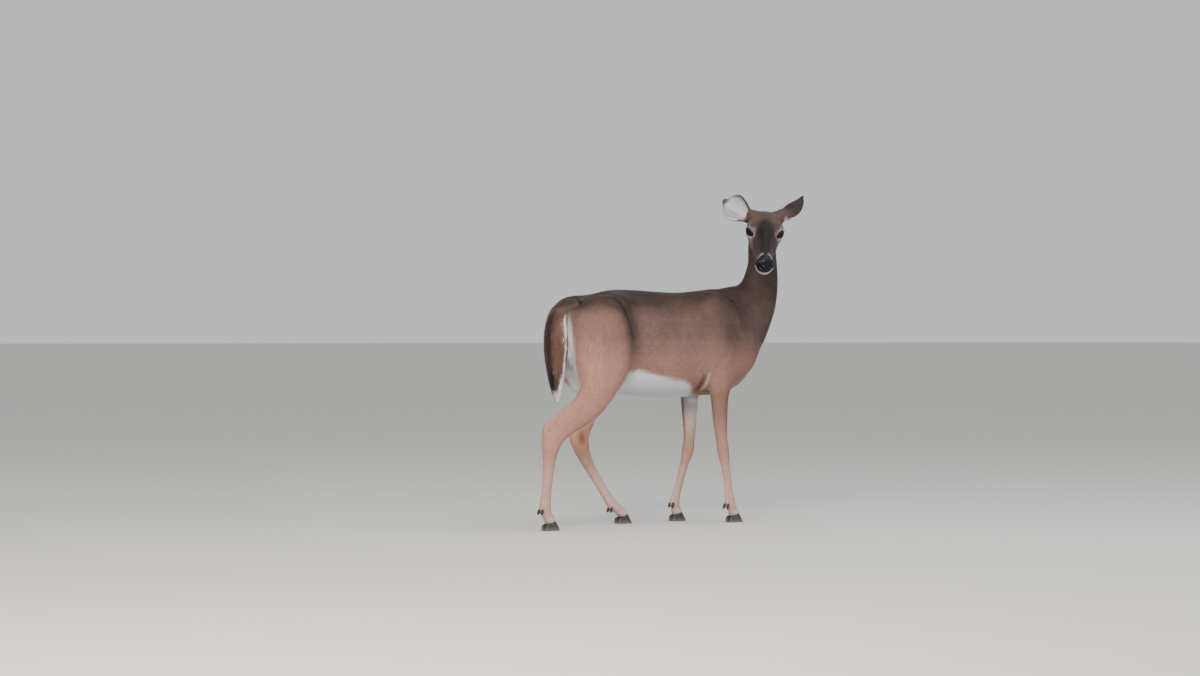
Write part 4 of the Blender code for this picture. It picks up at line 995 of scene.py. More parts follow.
def mark_head(coat):
    """A head darkened all over, partly by its own hair and partly by painted shade, with a red-brown brow,
    a charcoal bridge, grey cheeks, pale eye rings, muzzle, lips and throat.
    """
    points, ragged = coat.points, coat.ragged
    hx, hy, hz = in_head(points).T
    beside, facing_up = np.abs(hy), coat.normals @ HEAD[2]
    here = on_skull(points)
    brow = ramp(hx, 0.012, -0.020) * ramp(hz, 0.005, 0.025)
    # the whole head is darkened: partly its own dark grey-brown hair, partly painted shade
    coat.dark = toward(coat.dark, 0.72 - 0.06 * brow + 0.08 * ragged, here)
    coat.warm = toward(coat.warm, 0.03 + 0.15 * brow, here)
    crown = ramp(beside, 0.026, 0.008) * ramp(hx, -0.010, -0.040) * ramp(hz, 0.015, 0.030)
    coat.dark += here * 0.10 * crown
    stripe = np.interp(hx, *np.array(BRIDGE_STRIPE).T)
    bridge = ramp(beside + 0.005 * ragged - stripe, 0.013, -0.013) * ramp(hx + 0.006 * ragged, -0.052, 0.012)
    bridge *= ramp(facing_up, -0.2, 0.3)
    coat.darken(here * (coat.dark + (0.98 - coat.dark) * bridge))
    for side in (-1, 1):
        mark_eye(coat, here, side)
    # a pale band round the nose, pale lips and chin, and a dark spot at the mouth's corner
    muzzle = ramp(hx + 0.003 * ragged, 0.124, 0.142) * ramp(beside, 0.003, 0.013)
    coat.whiten(here * muzzle * 0.32)
    patch = ramp(hx, 0.085, 0.100) * ramp(hx, 0.125, 0.112) * ramp(hz, -0.052, -0.040)
    coat.darken(here * 0.45 * (patch * ramp(beside, 0.010, 0.018)))
    jaw = ramp(hz + 0.004 * ragged, -0.049, -0.061) * ramp(hx, -0.045, -0.020) * ramp(facing_up, -0.3, -0.7)
    coat.whiten(here * jaw * 0.80)
    lips = ramp(hx, 0.108, 0.130) * ramp(hz, -0.034, -0.044)
    coat.whiten(here * lips * 0.72)
    mouth = np.exp(-((hz - np.interp(hx, *np.array(MOUTH).T)) / 0.0016) ** 2) * ramp(hx, 0.075, 0.092)
    coat.darken(here * mouth * 0.8)
    coat.white *= 1 - 0.8 * here * mouth
    coat.bare = np.maximum(coat.bare, nose_pad(points))
    coat.white *= 1 - coat.bare
    coat.whiten(spot(points, on_head(-0.060, 0, -0.086), (0.030, 0.034, 0.022), 0.010) * 0.7)


def mark_eye(coat, here, side):
    """A pale ring and a pale streak below it, round black lids and a black tear gland."""
    gap, ahead, across, rise = round_eye(coat.points, side)
    ring = ramp(gap + 0.0025 * coat.ragged, 0.0170, 0.0050) * (ahead > 0)
    ring *= 1 - 0.7 * ramp(across, 0.000, -0.014) * ramp(rise, -0.010, 0.004)
    coat.whiten(here * 0.43 * ring * ramp(gap, 0.0034, 0.0060))
    local = np.stack([across, rise, ahead], 1)
    under = spot(local, (0.034, -0.017, 0.006), (0.034, 0.007, 0.022), 0.010)
    coat.whiten(here * (0.20 + 0.08 * coat.ragged) * under)
    lids = ramp(gap, 0.0056, 0.0034) * (ahead > 0)
    tear = spot(local, (0.0235, -0.006, 0.010), (0.009, 0.0030, 0.010), 0.0020)
    black = np.maximum(lids, 0.75 * tear)
    coat.dark = coat.dark * (1 - 0.7 * ring * here)
    coat.darken(here * black)
    coat.white *= 1 - black * here


def mark_ear(coat, name):
    """White inside, grey-brown behind, dark at the tip and along the rim. The dark back and the dark band
    along one edge of the rim are partly the ear's own colour and partly painted shade.
    """
    root, length, axis, opening = ear_axes(name)
    across = np.cross(axis, opening)
    offset = coat.points - root
    along, wide, deep = offset @ axis / length, offset @ across, offset @ opening
    mine = ramp(along, 0.10, 0.20) * (np.hypot(wide, deep) < 0.065)
    shares, radii, angles = np.array(EAR_PROFILE).T[:3]
    radius = np.interp(along, shares, radii)
    hollow = deep - (radius - EAR_HOLLOW)
    inside = ramp((coat.normals @ across) * wide + (coat.normals @ opening) * hollow, 0.006, -0.006)
    half_angle = np.radians(np.interp(along, shares, angles))
    to_edge = radius * (half_angle - np.arctan2(np.abs(wide), -hollow))
    tip = ramp(along + 0.03 * coat.ragged, 0.76, 0.88)
    # the dark rim lies along one edge, and round the right ear's whole edge past its middle: partly the
    # ear's own dark rim, partly painted shade
    rim = np.maximum(ramp(wide, -0.004, 0.004), (EARS[name][0] < 0) * ramp(along, 0.35, 0.55))
    rim *= ramp(to_edge + 0.002 * coat.ragged, 0.0100, 0.0035)
    coat.warm = toward(coat.warm, 0.04 + 0.20 * ramp(along, 0.40, 0.12), mine)
    # the back of the ear is dark: partly its own grey-brown hair, partly painted shade
    back = 0.86 - 0.08 * ramp(along, 0.40, 0.12)
    coat.dark = toward(coat.dark, np.maximum(back * (1 - inside), 0.90 * np.maximum(tip, rim)), mine)
    lining = inside * (1 - 0.9 * np.maximum(tip, 0.8 * rim))
    lining *= 1 - 0.35 * ramp(wide, -0.006, -0.016) * ramp(to_edge, 0.003, 0.008)
    fringe = 0.85 * ramp(to_edge, 0.0045, 0.0020) * ramp(wide, 0.004, -0.004) * (1 - 0.6 * tip)
    coat.white = coat.white * (1 - mine) + mine * np.maximum(lining, fringe) * 0.86
    tuft = root + opening * 0.020 + axis * 0.016 - across * 0.012
    coat.whiten(0.45 * spot(coat.points, tuft, (0.014, 0.014, 0.014), 0.006))


def mark_folds(coat):
    """Shade in the folds of the hide, deeper on the right side."""
    # the painted fold shade fades out where the hide faces up, and wavers a little
    shade_fade = ramp(coat.normals[:, 2], 0.98, 0.75) * (0.88 + 0.12 * wobble(coat.points, 0.03))
    for line, width, deep, fade in FOLD_SHADES:
        for side, share in ((-1, 1.0), (1, 0.6)):
            coat.darken(fold(coat.points, line, side, width, fade) * deep * share * shade_fade)


def markings(points, normals):
    """The coat's masks at each point: white, warm, dark (dark hair and painted shade alike) and bare black
    nose.
    """
    coat = Marks(points, normals)
    for mark in (mark_trunk, mark_legs, mark_rump, mark_tail, mark_head):
        mark(coat)
    for name in EARS:
        mark_ear(coat, name)
    mark_folds(coat)
    return np.clip(np.stack([coat.white, coat.warm, coat.dark, coat.bare], 1), 0, 1)


# ---------------------------------------------------------------- lie of the coat

# Side of the trunk: x, z, the way the hair lies in x and z, and how far the guide reaches
TRUNK_LIE = [
    (0.30, 0.785, -1.00, -0.10, 0.07), (0.15, 0.790, -1.00, -0.03, 0.08),
    (0.00, 0.785, -1.00, -0.03, 0.08), (-0.15, 0.785, -1.00, -0.05, 0.08),
    (-0.28, 0.770, -0.95, -0.30, 0.07), (-0.36, 0.740, -0.75, -0.66, 0.05),
    (0.15, 0.640, -0.93, -0.37, 0.08), (0.00, 0.640, -0.95, -0.31, 0.08),
    (-0.12, 0.640, -0.96, -0.28, 0.07), (0.12, 0.520, -0.95, -0.31, 0.07),
    (0.00, 0.510, -0.97, -0.24, 0.07), (-0.12, 0.510, -0.95, -0.30, 0.06),
    (0.25, 0.700, -0.62, -0.78, 0.07), (0.30, 0.600, -0.45, -0.89, 0.06),
    (0.23, 0.540, -0.35, -0.94, 0.06), (0.40, 0.660, -0.20, -0.98, 0.06),
    (0.36, 0.540, -0.60, -0.80, 0.06), (0.28, 0.460, -0.85, -0.52, 0.05),
    (-0.24, 0.710, -0.80, -0.60, 0.06), (-0.25, 0.620, -0.55, -0.84, 0.06),
    (-0.33, 0.660, -0.35, -0.94, 0.06), (-0.26, 0.530, -0.40, -0.92, 0.06),
    (-0.19, 0.580, -0.55, -0.84, 0.05), (-0.37, 0.560, 0.00, -1.00, 0.05),
    (0.10, 0.430, -1.00, 0.00, 0.05), (-0.05, 0.430, -1.00, 0.00, 0.05),
    (-0.17, 0.440, -1.00, -0.10, 0.05),
]


def lie_guides():
    """Places, directions and reaches from which the lie of the coat is blended."""
    guides = []
    for x, z, ahead, rise, reach in TRUNK_LIE:
        y = 0.10 * ramp(z, 0.79, 0.70)
        guides += [((x, side * y, z), (ahead, 0, rise), reach) for side in (-1, 1)]
    for side, stations, _, _ in FEET.values():
        rows = np.array(stations)[2:, :3] * (1, side, 1)
        guides += [(a, b - a, 0.035) for a, b in zip(rows, rows[1:])]
    neck = neck_shapes()[0].rows
    guides += [(a[:3], a[:3] - b[:3] + np.array((-0.006, 0, 0)), 0.05)
               for a, b in zip(neck[8:-4:3], neck[11::3])]
    for x in (-0.10, -0.06, -0.02, 0.02, 0.06, 0.10, 0.14):
        for side, (up, rise) in itertools.product((-1, 1), ((-1, -0.25), (1, 0.10))):
            way = np.array((-1.0, side * 0.30, rise)) @ HEAD
            guides.append((on_head(x, side * 0.03, -0.015 + up * 0.035), way, 0.03))
    for name in EARS:
        root, length, axis, _ = ear_axes(name)
        guides += [(root + axis * length * share, axis, 0.035) for share in (0.2, 0.4, 0.6, 0.8, 1.0)]
    tail = tail_shapes()[0].rows[:, :3]
    guides += [(a, b - a, 0.035) for a, b in zip(tail[2:-2:3], tail[4::3])]
    return guides


def lie(points, normals, rng):
    """The way the hair lies at each point, along the skin."""
    total, weight = np.zeros_like(points), np.full(len(points), 1e-12)
    for at, way, reach in lie_guides():
        share = np.exp(-((points - at) ** 2).sum(1) / reach ** 2) + 1e-9 / ((points - at) ** 2).sum(1)
        total += share[:, None] * unit(way)
        weight += share
    way = total / weight[:, None]
    way -= (way * normals).sum(1)[:, None] * normals
    way /= np.linalg.norm(way, axis=1)[:, None] + 1e-9
    across = np.cross(normals, way)
    turn = 0.16 * wobble(points, 0.06, 4.0) + 0.12 * wobble(points, 0.021, 1.0)
    turn += rng.normal(0, 0.10, len(points))
    return way * np.cos(turn)[:, None] + across * np.sin(turn)[:, None]


# ---------------------------------------------------------------- hooves


HOOF_OUTLINE = [(0.034, 0.0030), (0.026, 0.0030), (0.000, 0.0024), (-0.022, 0.0030), (-0.027, 0.0080),
                (-0.024, 0.0170), (-0.008, 0.0215), (0.012, 0.0200), (0.027, 0.0125), (0.034, 0.0065)]
HOOF_RINGS = [(0.000, 0.955), (0.012, 0.985), (0.04, 1.0), (0.12, 1.0), (0.24, 1.0), (0.42, 0.965),
              (0.60, 0.93), (0.78, 0.88), (0.92, 0.82), (1.0, 0.72)]  # share of the height and of the width
HEEL_HEIGHT = 0.019
TOE_RISE = 0.014  # how much higher the toe's wall is than the heel's
TOE_SLOPE = 0.017  # how far back the toe's wall leans over its height
CLAW_MIDDLE = (0.004, 0.011)  # ahead and out, toward which a claw narrows
HOOF_SPLAY = math.radians(4)
DEWCLAW_RADII = (0.0055, 0.0055, 0.0110)
DEWCLAW_LEAN = (-0.35, 0, -0.94)
DEWCLAW_APART = 0.0095  # from the middle of the foot


def round_outline(outline, per_span):
    """A closed outline with its corners rounded."""
    p = np.asarray(outline, float)
    return curve_through(np.vstack([p[-1:], p, p[:2]]), per_span)


def build_claw(bm, centre, side):
    """One claw: a flat sole with a rounded edge, an outer wall that slopes back, and a low domed top."""
    toe, heel = HOOF_OUTLINE[0][0], HOOF_OUTLINE[4][0]
    turn = Matrix.Rotation(side * HOOF_SPLAY, 3, "Z")
    place = Vector((centre[0], centre[1], 0))
    rings = []
    for rise, wide in HOOF_RINGS:
        ring = []
        for ahead, out in round_outline(HOOF_OUTLINE, 4):
            t = min(max((ahead - heel) / (toe - heel), 0.0), 1.0)
            middle = (ahead - CLAW_MIDDLE[0]) * (1 - (1 - wide) * 0.5) + CLAW_MIDDLE[0]
            across = side * (CLAW_MIDDLE[1] + (out - CLAW_MIDDLE[1]) * wide)
            back = TOE_SLOPE * rise * t ** 1.5
            height = (HEEL_HEIGHT + TOE_RISE * t) * rise
            at = Vector((middle - back, across, height))
            ring.append(bm.verts.new(turn @ at + place - Vector(CENTRE)))
        rings.append(ring)
    for lower, upper in zip(rings, rings[1:]):
        for i in range(len(lower)):
            j = (i + 1) % len(lower)
            bm.faces.new((lower[i], lower[j], upper[j], upper[i]))
    bm.faces.new(rings[0])
    bm.faces.new(rings[-1])


def build_spur(bm, place):
    """A dewclaw: a small blunt cone of horn that hangs behind the fetlock."""
    down, across = unit(DEWCLAW_LEAN), np.array(LEFT)
    axes = np.stack([np.cross(across, down), across, down])
    made = bmesh.ops.create_uvsphere(bm, u_segments=20, v_segments=14, radius=1)["verts"]
    for vert in made:
        local = np.array(vert.co)
        local[:2] *= 1 - 0.22 * max(local[2], 0)
        vert.co = Vector(np.array(place) - CENTRE + (local * DEWCLAW_RADII * 0.97) @ axes)


# ---------------------------------------------------------------- tufts


def finished(mesh, name, material, nodes=()):
    """The mesh as a smooth piece of the deer, which stands for these nodes of the frame."""
    mesh.shade_smooth()
    mesh.materials.append(material)
    obj = bpy.data.objects.new(name, mesh)
    bpy.context.scene.collection.objects.link(obj)
    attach(obj, "root")
    if nodes:
        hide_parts(*nodes)
    return obj


def from_bmesh(bm, name):
    """A mesh of this bmesh, which it frees."""
    mesh = bpy.data.meshes.new(name)
    bm.to_mesh(mesh)
    bm.free()
    return mesh


def from_triangles(name, points, triangles):
    """A mesh of these triangles, moved into the frame."""
    mesh = bpy.data.meshes.new(name)
    mesh.vertices.add(len(points))
    mesh.vertices.foreach_set("co", (points - CENTRE).astype(np.float32).ravel())
    mesh.loops.add(triangles.size)
    mesh.loops.foreach_set("vertex_index", triangles.astype(np.int32).ravel())
    mesh.polygons.add(len(triangles))
    mesh.polygons.foreach_set("loop_start", np.arange(0, triangles.size, 3, dtype=np.int32))
    mesh.update(calc_edges=True)
    return mesh


def read(rows, key, width, kind=np.float32):
    """One property of a mesh's vertices or triangles, a row of numbers for each."""
    values = np.empty(len(rows) * width, kind)
    rows.foreach_get(key, values)
    return values.reshape(-1, width)


def read_skin():
    """The skin's mesh, and the places and normals of its vertices."""
    mesh = bpy.data.objects["skin"].data
    points, normals = read(mesh.vertices, "co", 3), read(mesh.vertex_normals, "vector", 3)
    return mesh, points.astype(float) + CENTRE, normals.astype(float)


def keep_masks(mesh, name, values):
    """Four numbers at each vertex, for the materials to read."""
    layer = mesh.attributes.new(name, "FLOAT_COLOR", "POINT")
    layer.data.foreach_set("color", values.astype(np.float32).ravel())


def unwrap_of(group, points):
    """Places on an unwrap of the skin: the angle round this part of the body, and the distance along it."""
    x, y, z = points.T
    if group.startswith("trunk"):
        flat = np.arctan2(y, z - 0.60), x
    elif group.startswith("neck"):
        rows = neck_shapes()[0].rows
        middle_x, middle_y = (np.interp(z, rows[:, 2], rows[:, i]) for i in (0, 1))
        flat = np.arctan2(y - middle_y, x - middle_x), z
    elif group == "head":
        hx, hy, hz = in_head(points).T
        flat = np.arctan2(hy, hz + 0.015), hx
    elif group.startswith("ear"):
        root, _, axis, _ = ear_axes(group)
        offset, opening = points - root, np.array(EARS[group][3])
        middle = offset - np.outer(offset @ axis, axis) - opening * 0.012
        across, deep = middle @ np.cross(axis, opening), middle @ opening
        # the inside lies on a strip of its own beside the outside
        inner = np.hypot(across, deep) < 0.024
        flat = np.arctan2(across, -deep) + inner * 2 * math.pi, offset @ axis
    elif group == "tail":
        flat = np.arctan2(y, -(x + 0.41) * 2), z
    else:
        side, stations, _, _ = FEET[group.replace("_leg_", "_")]
        ahead, out, _, _ = leg_gaps(points, side, stations)
        flat = np.arctan2(out, ahead), z
    flat = np.stack(flat, 1)
    low, high = flat.min(0), flat.max(0)
    return 0.01 + 0.98 * (flat - low) / (high - low)


def coat_groups(points):
    """The part of the coat that each point belongs to."""
    x, y, z = points.T
    side = np.where(y > 0, "left", "right")
    stretch = np.select([x > 0.20, x > 0.02, x > -0.16, x > -0.30],
                        ["shoulder", "ribs", "loin", "thigh"], "rump")
    group = np.char.add(np.char.add("trunk_", stretch), np.char.add("_", side))
    low = z < 0.425
    group = np.where(low & (x > 0.03), np.char.add("fore_leg_", side), group)
    group = np.where(low & (x <= 0.03), np.char.add("hind_leg_", side), group)
    on_neck = ((points - np.array((0.335, 0, 0.800))) @ unit((0.70, 0, 0.71)) > 0) & (z > 0.70)
    group = np.where(on_neck, np.char.add("neck_", np.where(y > -0.03, "left", "right")), group)
    group = np.where((in_head(points)[:, 0] > -0.105) & (z > 0.84), "head", group)
    group = np.where(by_tail(points) > 0.5, "tail", group)
    for name in EARS:
        along, beside = by_ear(points, name)
        group = np.where((along > 0.020) & (beside < 0.065), name, group)
    return group


def hair_size(points, normals, masks):
    """For each point: hair length, tuft width, how far the tips stand off, and how many layers lie over each
    other."""
    x, _, z = points.T
    low = ramp(z, 0.50, 0.30)
    length, width, stand, layers = sizes = (
        0.0200 - 0.0115 * low, 0.00125 - 0.00035 * low, 0.0036 - 0.0023 * low, 3.3 - 1.1 * low)

    def change(share, *values):
        for size, value in zip(sizes, values):
            size += share * (value - size)

    # longer under the belly and behind the thighs
    under = masks[:, 0] * ramp(normals[:, 2], 0.2, -0.4) * ramp(z, 0.54, 0.50) * (1 - low)
    behind = ramp(x, -0.33, -0.36) * ramp(normals[:, 0], -0.3, -0.7) * ramp(z, 0.44, 0.48)
    longer = np.maximum(under, behind)
    length += 0.006 * longer
    stand += 0.0015 * longer
    hx = in_head(points)[:, 0]
    muzzle = ramp(hx, 0.00, 0.11)
    change(ramp(z, 0.82, 0.88) * ramp(hx, -0.17, -0.08), 0.0092 - 0.0056 * muzzle,
           0.00095 - 0.00030 * muzzle, 0.0019 - 0.0012 * muzzle, 2.6 - 0.5 * muzzle)
    for side in (-1, 1):
        change(ramp(eye_distance(points, side), 0.034, 0.022), 0.0040, 0.00070, 0.0008)
    for name in EARS:
        along, beside = by_ear(points, name)
        ear = ramp(along, 0.012, 0.030) * ramp(beside, 0.075, 0.062)
        inside = ear * masks[:, 0] * ramp(along / ear_axes(name)[1], 0.95, 0.70)
        change(ear, 0.0075 + 0.0105 * inside, 0.00095, 0.0010 + 0.0022 * inside, 1.8)
    change(by_tail(points), 0.043 + 0.012 * masks[:, 0], 0.0018, 0.0068, 5.0)
    return sizes


def scattered(rng, share):
    """Roots over the skin, more where the hairs are small: places, normals and masks there."""
    mesh, points, normals = read_skin()
    mesh.calc_loop_triangles()
    corners = read(mesh.loop_triangles, "vertices", 3, np.int32)
    masks = read(mesh.attributes["markings"].data, "color", 4).astype(float)
    length, width, _, layers = hair_size(points, normals, masks)
    crowd = share * layers / (0.5 * length * width)
    a, b, c = points[corners].transpose(1, 0, 2)
    area = np.linalg.norm(np.cross(b - a, c - a), axis=1) / 2
    wanted = area * crowd[corners].mean(1)
    count = np.floor(wanted + rng.random(len(wanted))).astype(int)
    chosen = np.repeat(np.arange(len(corners)), count)
    u, v = rng.random((2, len(chosen)))
    over = u + v > 1
    u[over], v[over] = 1 - u[over], 1 - v[over]
    weights = np.stack([1 - u - v, u, v], 1)
    found = [(values[corners[chosen]] * weights[:, :, None]).sum(1) for values in (points, normals, masks)]
    found[1] /= np.linalg.norm(found[1], axis=1)[:, None]
    return found, (points, corners)


def bare_skin(points):
    """Where no hair grows: the lids' edges and the nose pad."""
    bare = nose_pad(points) > 0.4
    for side in (-1, 1):
        gap, ahead, _, _ = round_eye(points, side)
        bare |= (gap < 0.0018) & (ahead > 0) & (ahead < 0.03)
    return bare


def unit_rows(vectors):
    """Each row at length 1."""
    return vectors / (np.linalg.norm(vectors, axis=1)[:, None] + 1e-9)


def tufts(roots, normals, ways, length, width, stand, tree, rng):
    """Tapered locks, each a ridged blade that lies along the skin. Long ones bend with it."""
    count = len(roots)
    bends = 2 if length.mean() > 0.025 else 1
    curved = length.mean() > 0.006
    length = length * rng.uniform(0.72, 1.28, count)
    stand = stand * rng.uniform(0.45, 1.25, count)
    spine, faces = [roots - normals * 0.0006], [normals]
    for step in range(1, bends + 1):
        share = step / bends
        aim = roots + ways * (length * share)[:, None] + normals * (stand * share)[:, None]
        ups = normals
        if curved:
            found = [tree.find_nearest(at) for at in aim]
            ups = np.array([hit[1] for hit in found])
            aim = np.array([hit[0] for hit in found]) + ups * (stand * share ** 0.8)[:, None]
        spine.append(aim)
        faces.append(ups)
    rows, along = [], []
    for step in range(bends):
        ahead = spine[step + 1] - spine[step]
        across = unit_rows(np.cross(faces[step], ahead))
        half = width * (0.50 if step == bends - 1 else 0.36)
        rows += [spine[step] - across * half[:, None], spine[step] + faces[step] * (half * 0.55)[:, None],
                 spine[step] + across * half[:, None]]
        along += [step / bends] * 3
    rows.append(spine[-1])
    along.append(1.0)
    points = np.stack(rows, 1).reshape(-1, 3)
    per = len(rows)
    # shading follows the skin, a little rounded across each lock
    shades = []
    for step in range(bends):
        across = unit_rows(np.cross(faces[step], ways))
        shades += [unit_rows(faces[step] + across * tilt) for tilt in (-0.30, 0.0, 0.30)]
    shades.append(faces[-1])
    shades = np.stack(shades, 1).reshape(-1, 3)
    pattern = []
    for step in range(bends):
        low, high = step * 3, step * 3 + 3
        if step < bends - 1:
            pattern += [(low, high + 1, low + 1), (low, high, high + 1), (low + 1, high + 2, low + 2),
                        (low + 1, high + 1, high + 2)]
        else:
            pattern += [(low, high, low + 1), (low + 1, high, low + 2)]
    triangles = (np.array(pattern)[None] + (np.arange(count) * per)[:, None, None]).reshape(-1, 3)
    return points, triangles, shades, np.array(along), np.array([-1, 0, 1] * bends + [0])


def spikes(roots, ways, bend, length, radius, segments=5):
    """Single hairs: three-sided, tapered and bent, as one set of triangles."""
    points, triangles, along = [], [], []
    for root, way, down, reach, thick in zip(roots, ways, bend, length, radius):
        start = len(points)
        across = unit(np.cross(way, down + np.array((0.01, 0.02, 0.03))))
        over = np.cross(way, across)
        for i in range(segments + 1):
            t = i / segments
            middle = root + way * reach * t + down * reach * t * t
            for corner in range(3):
                turn = corner * 2 * math.pi / 3
                beside = across * math.cos(turn) + over * math.sin(turn)
                points.append(middle + beside * thick * (1.02 - t))
                along.append(t)
            for corner in range(3 * (i > 0)):
                a, b = start + 3 * i + corner, start + 3 * i + (corner + 1) % 3
                triangles += [(a - 3, b - 3, b), (a - 3, b, a)]
    return np.array(points), np.array(triangles), np.array(along)


# ---------------------------------------------------------------- materials


def linear(code):
    """An sRGB hex colour as linear red, green, blue and alpha."""
    values = [int(code[i:i + 2], 16) / 255 for i in (1, 3, 5)]
    return [v / 12.92 if v <= 0.04045 else ((v + 0.055) / 1.055) ** 2.4 for v in values] + [1.0]


COLOUR = {"data_type": "RGBA"}
TINT = {"data_type": "RGBA", "blend_type": "MULTIPLY"}


def add(tree, kind, inputs, **settings):
    """Adds a shader node with its settings, its sockets set or linked, and gives its outputs."""
    node = tree.nodes.new("ShaderNode" + kind)
    for key, value in settings.items():
        setattr(node, key, value)
    for key, value in inputs.items():
        if isinstance(value, bpy.types.NodeSocket):
            tree.links.new(value, node.inputs[key])
        else:
            node.inputs[key].default_value = value
    return node.outputs


def started(name):
    """A material of this name with no nodes yet."""
    material = bpy.data.materials.new(name)
    material.use_nodes = True
    material.node_tree.nodes.clear()
    return material, material.node_tree


def coat_colour(tree, colours):
    """The coat's colour from the masks on the mesh: brown, then tan and rust, then dark, then white."""
    masks = add(tree, "Attribute", {}, attribute_name="markings")
    white, warm, dark = add(tree, "SeparateColor", {0: masks["Color"]})
    strand = add(tree, "Attribute", {}, attribute_name="strand")
    along, chance, _ = add(tree, "SeparateColor", {0: strand["Color"]})
    place = add(tree, "TexCoord", {})["Object"]
    # drifts of lighter and darker hair, 60 mm and 12 mm across
    noise = {"Vector": place, "Detail": 3.0, "Roughness": 0.6}
    drift = add(tree, "TexNoise", {**noise, "Scale": 1 / 0.060})[0]
    fleck = add(tree, "TexNoise", {**noise, "Scale": 1 / 0.012})[0]
    brown = add(tree, "Mix", {0: drift, 6: linear(colours.brown), 7: linear(colours.grey)}, **COLOUR)
    tan = add(tree, "Mix", {0: fleck, 6: linear(colours.tan), 7: linear(colours.fawn)}, **COLOUR)
    half = add(tree, "MapRange", {0: warm, 1: 0.05, 2: 0.5})[0]
    full = add(tree, "MapRange", {0: warm, 1: 0.55, 2: 1.0})[0]
    colour = add(tree, "Mix", {0: half, 6: brown[2], 7: tan[2]}, **COLOUR)[2]
    colour = add(tree, "Mix", {0: full, 6: colour, 7: linear(colours.rust)}, **COLOUR)[2]
    # each hair is banded: dark at the root, pale near the tip, dark at the tip
    bands = add(tree, "ValToRGB", {0: along})
    stops = bands[0].node.color_ramp.elements
    stops[0].position, stops[0].color = 0.0, (0.74, 0.74, 0.74, 1)
    stops[1].position, stops[1].color = 1.0, (0.90, 0.90, 0.90, 1)
    stops.new(0.60).color = (1.0, 1.0, 1.0, 1)
    colour = add(tree, "Mix", {0: 1.0, 6: colour, 7: bands[0]}, **TINT)[2]
    # no two locks are quite as light
    bright = add(tree, "MapRange", {0: chance, 3: 0.70, 4: 1.30})[0]
    bright = add(tree, "CombineColor", {0: bright, 1: bright, 2: bright})[0]
    colour = add(tree, "Mix", {0: 1.0, 6: colour, 7: bright}, **TINT)[2]
    # the dark mask brings in dark hair and painted shade alike
    colour = add(tree, "Mix", {0: dark, 6: colour, 7: linear(colours.dark)}, **COLOUR)[2]
    root = add(tree, "MapRange", {0: along, 1: 0.0, 2: 0.5, 3: 0.82, 4: 1.0})[0]
    pale = add(tree, "CombineColor", {0: root, 1: root, 2: root})[0]
    pale = add(tree, "Mix", {0: 1.0, 6: pale, 7: linear(colours.white)}, **TINT)[2]
    colour = add(tree, "Mix", {0: white, 6: colour, 7: pale}, **COLOUR)[2]
    return colour, masks["Alpha"]


def guard_hair(colours):
    """Deer guard hair, grown hollow and crimped: full of air, so matt, with a faint gloss on each lock."""
    material, tree = started("deer_guard_hair")
    colour, _ = coat_colour(tree, colours)
    shader = add(tree, "BsdfPrincipled", {"Base Color": colour, "Roughness": 0.58, "IOR": 1.5,
                                          "Specular IOR Level": 0.28, "Sheen Weight": 0.10,
                                          "Sheen Roughness": 0.45})
    add(tree, "OutputMaterial", {0: shader[0]})
    return material


def haired_hide(colours):
    """Hide under short flat fur, and the bare nose: black, moist and pebbled, with a soft broken glint."""
    material, tree = started("haired_hide")
    colour, bare = coat_colour(tree, colours)
    place = add(tree, "TexCoord", {})["Object"]
    # pebbles 1.6 mm across on the nose, and hair furrows 2 mm apart elsewhere
    pebbles = add(tree, "TexVoronoi", {"Vector": place, "Scale": 1 / 0.0016}, feature="SMOOTH_F1")
    furrows = add(tree, "TexNoise", {"Vector": place, "Scale": 1 / 0.002, "Detail": 4.0})
    nose = add(tree, "Mix", {0: pebbles["Distance"], 6: linear(colours.nose_high),
                             7: linear(colours.nose)}, **COLOUR)[2]
    colour = add(tree, "Mix", {0: bare, 6: colour, 7: nose}, **COLOUR)[2]
    roughness = add(tree, "MapRange", {0: bare, 3: 0.72, 4: 0.34})[0]
    height = add(tree, "Mix", {0: bare, 2: furrows[0], 3: pebbles["Distance"]})[0]
    bump = add(tree, "Bump", {"Strength": 0.35, "Distance": 0.0006, "Height": height})[0]
    shader = add(tree, "BsdfPrincipled", {"Base Color": colour, "Roughness": roughness, "IOR": 1.45,
                                          "Normal": bump, "Specular IOR Level": 0.3})
    add(tree, "OutputMaterial", {0: shader[0]})
    return material


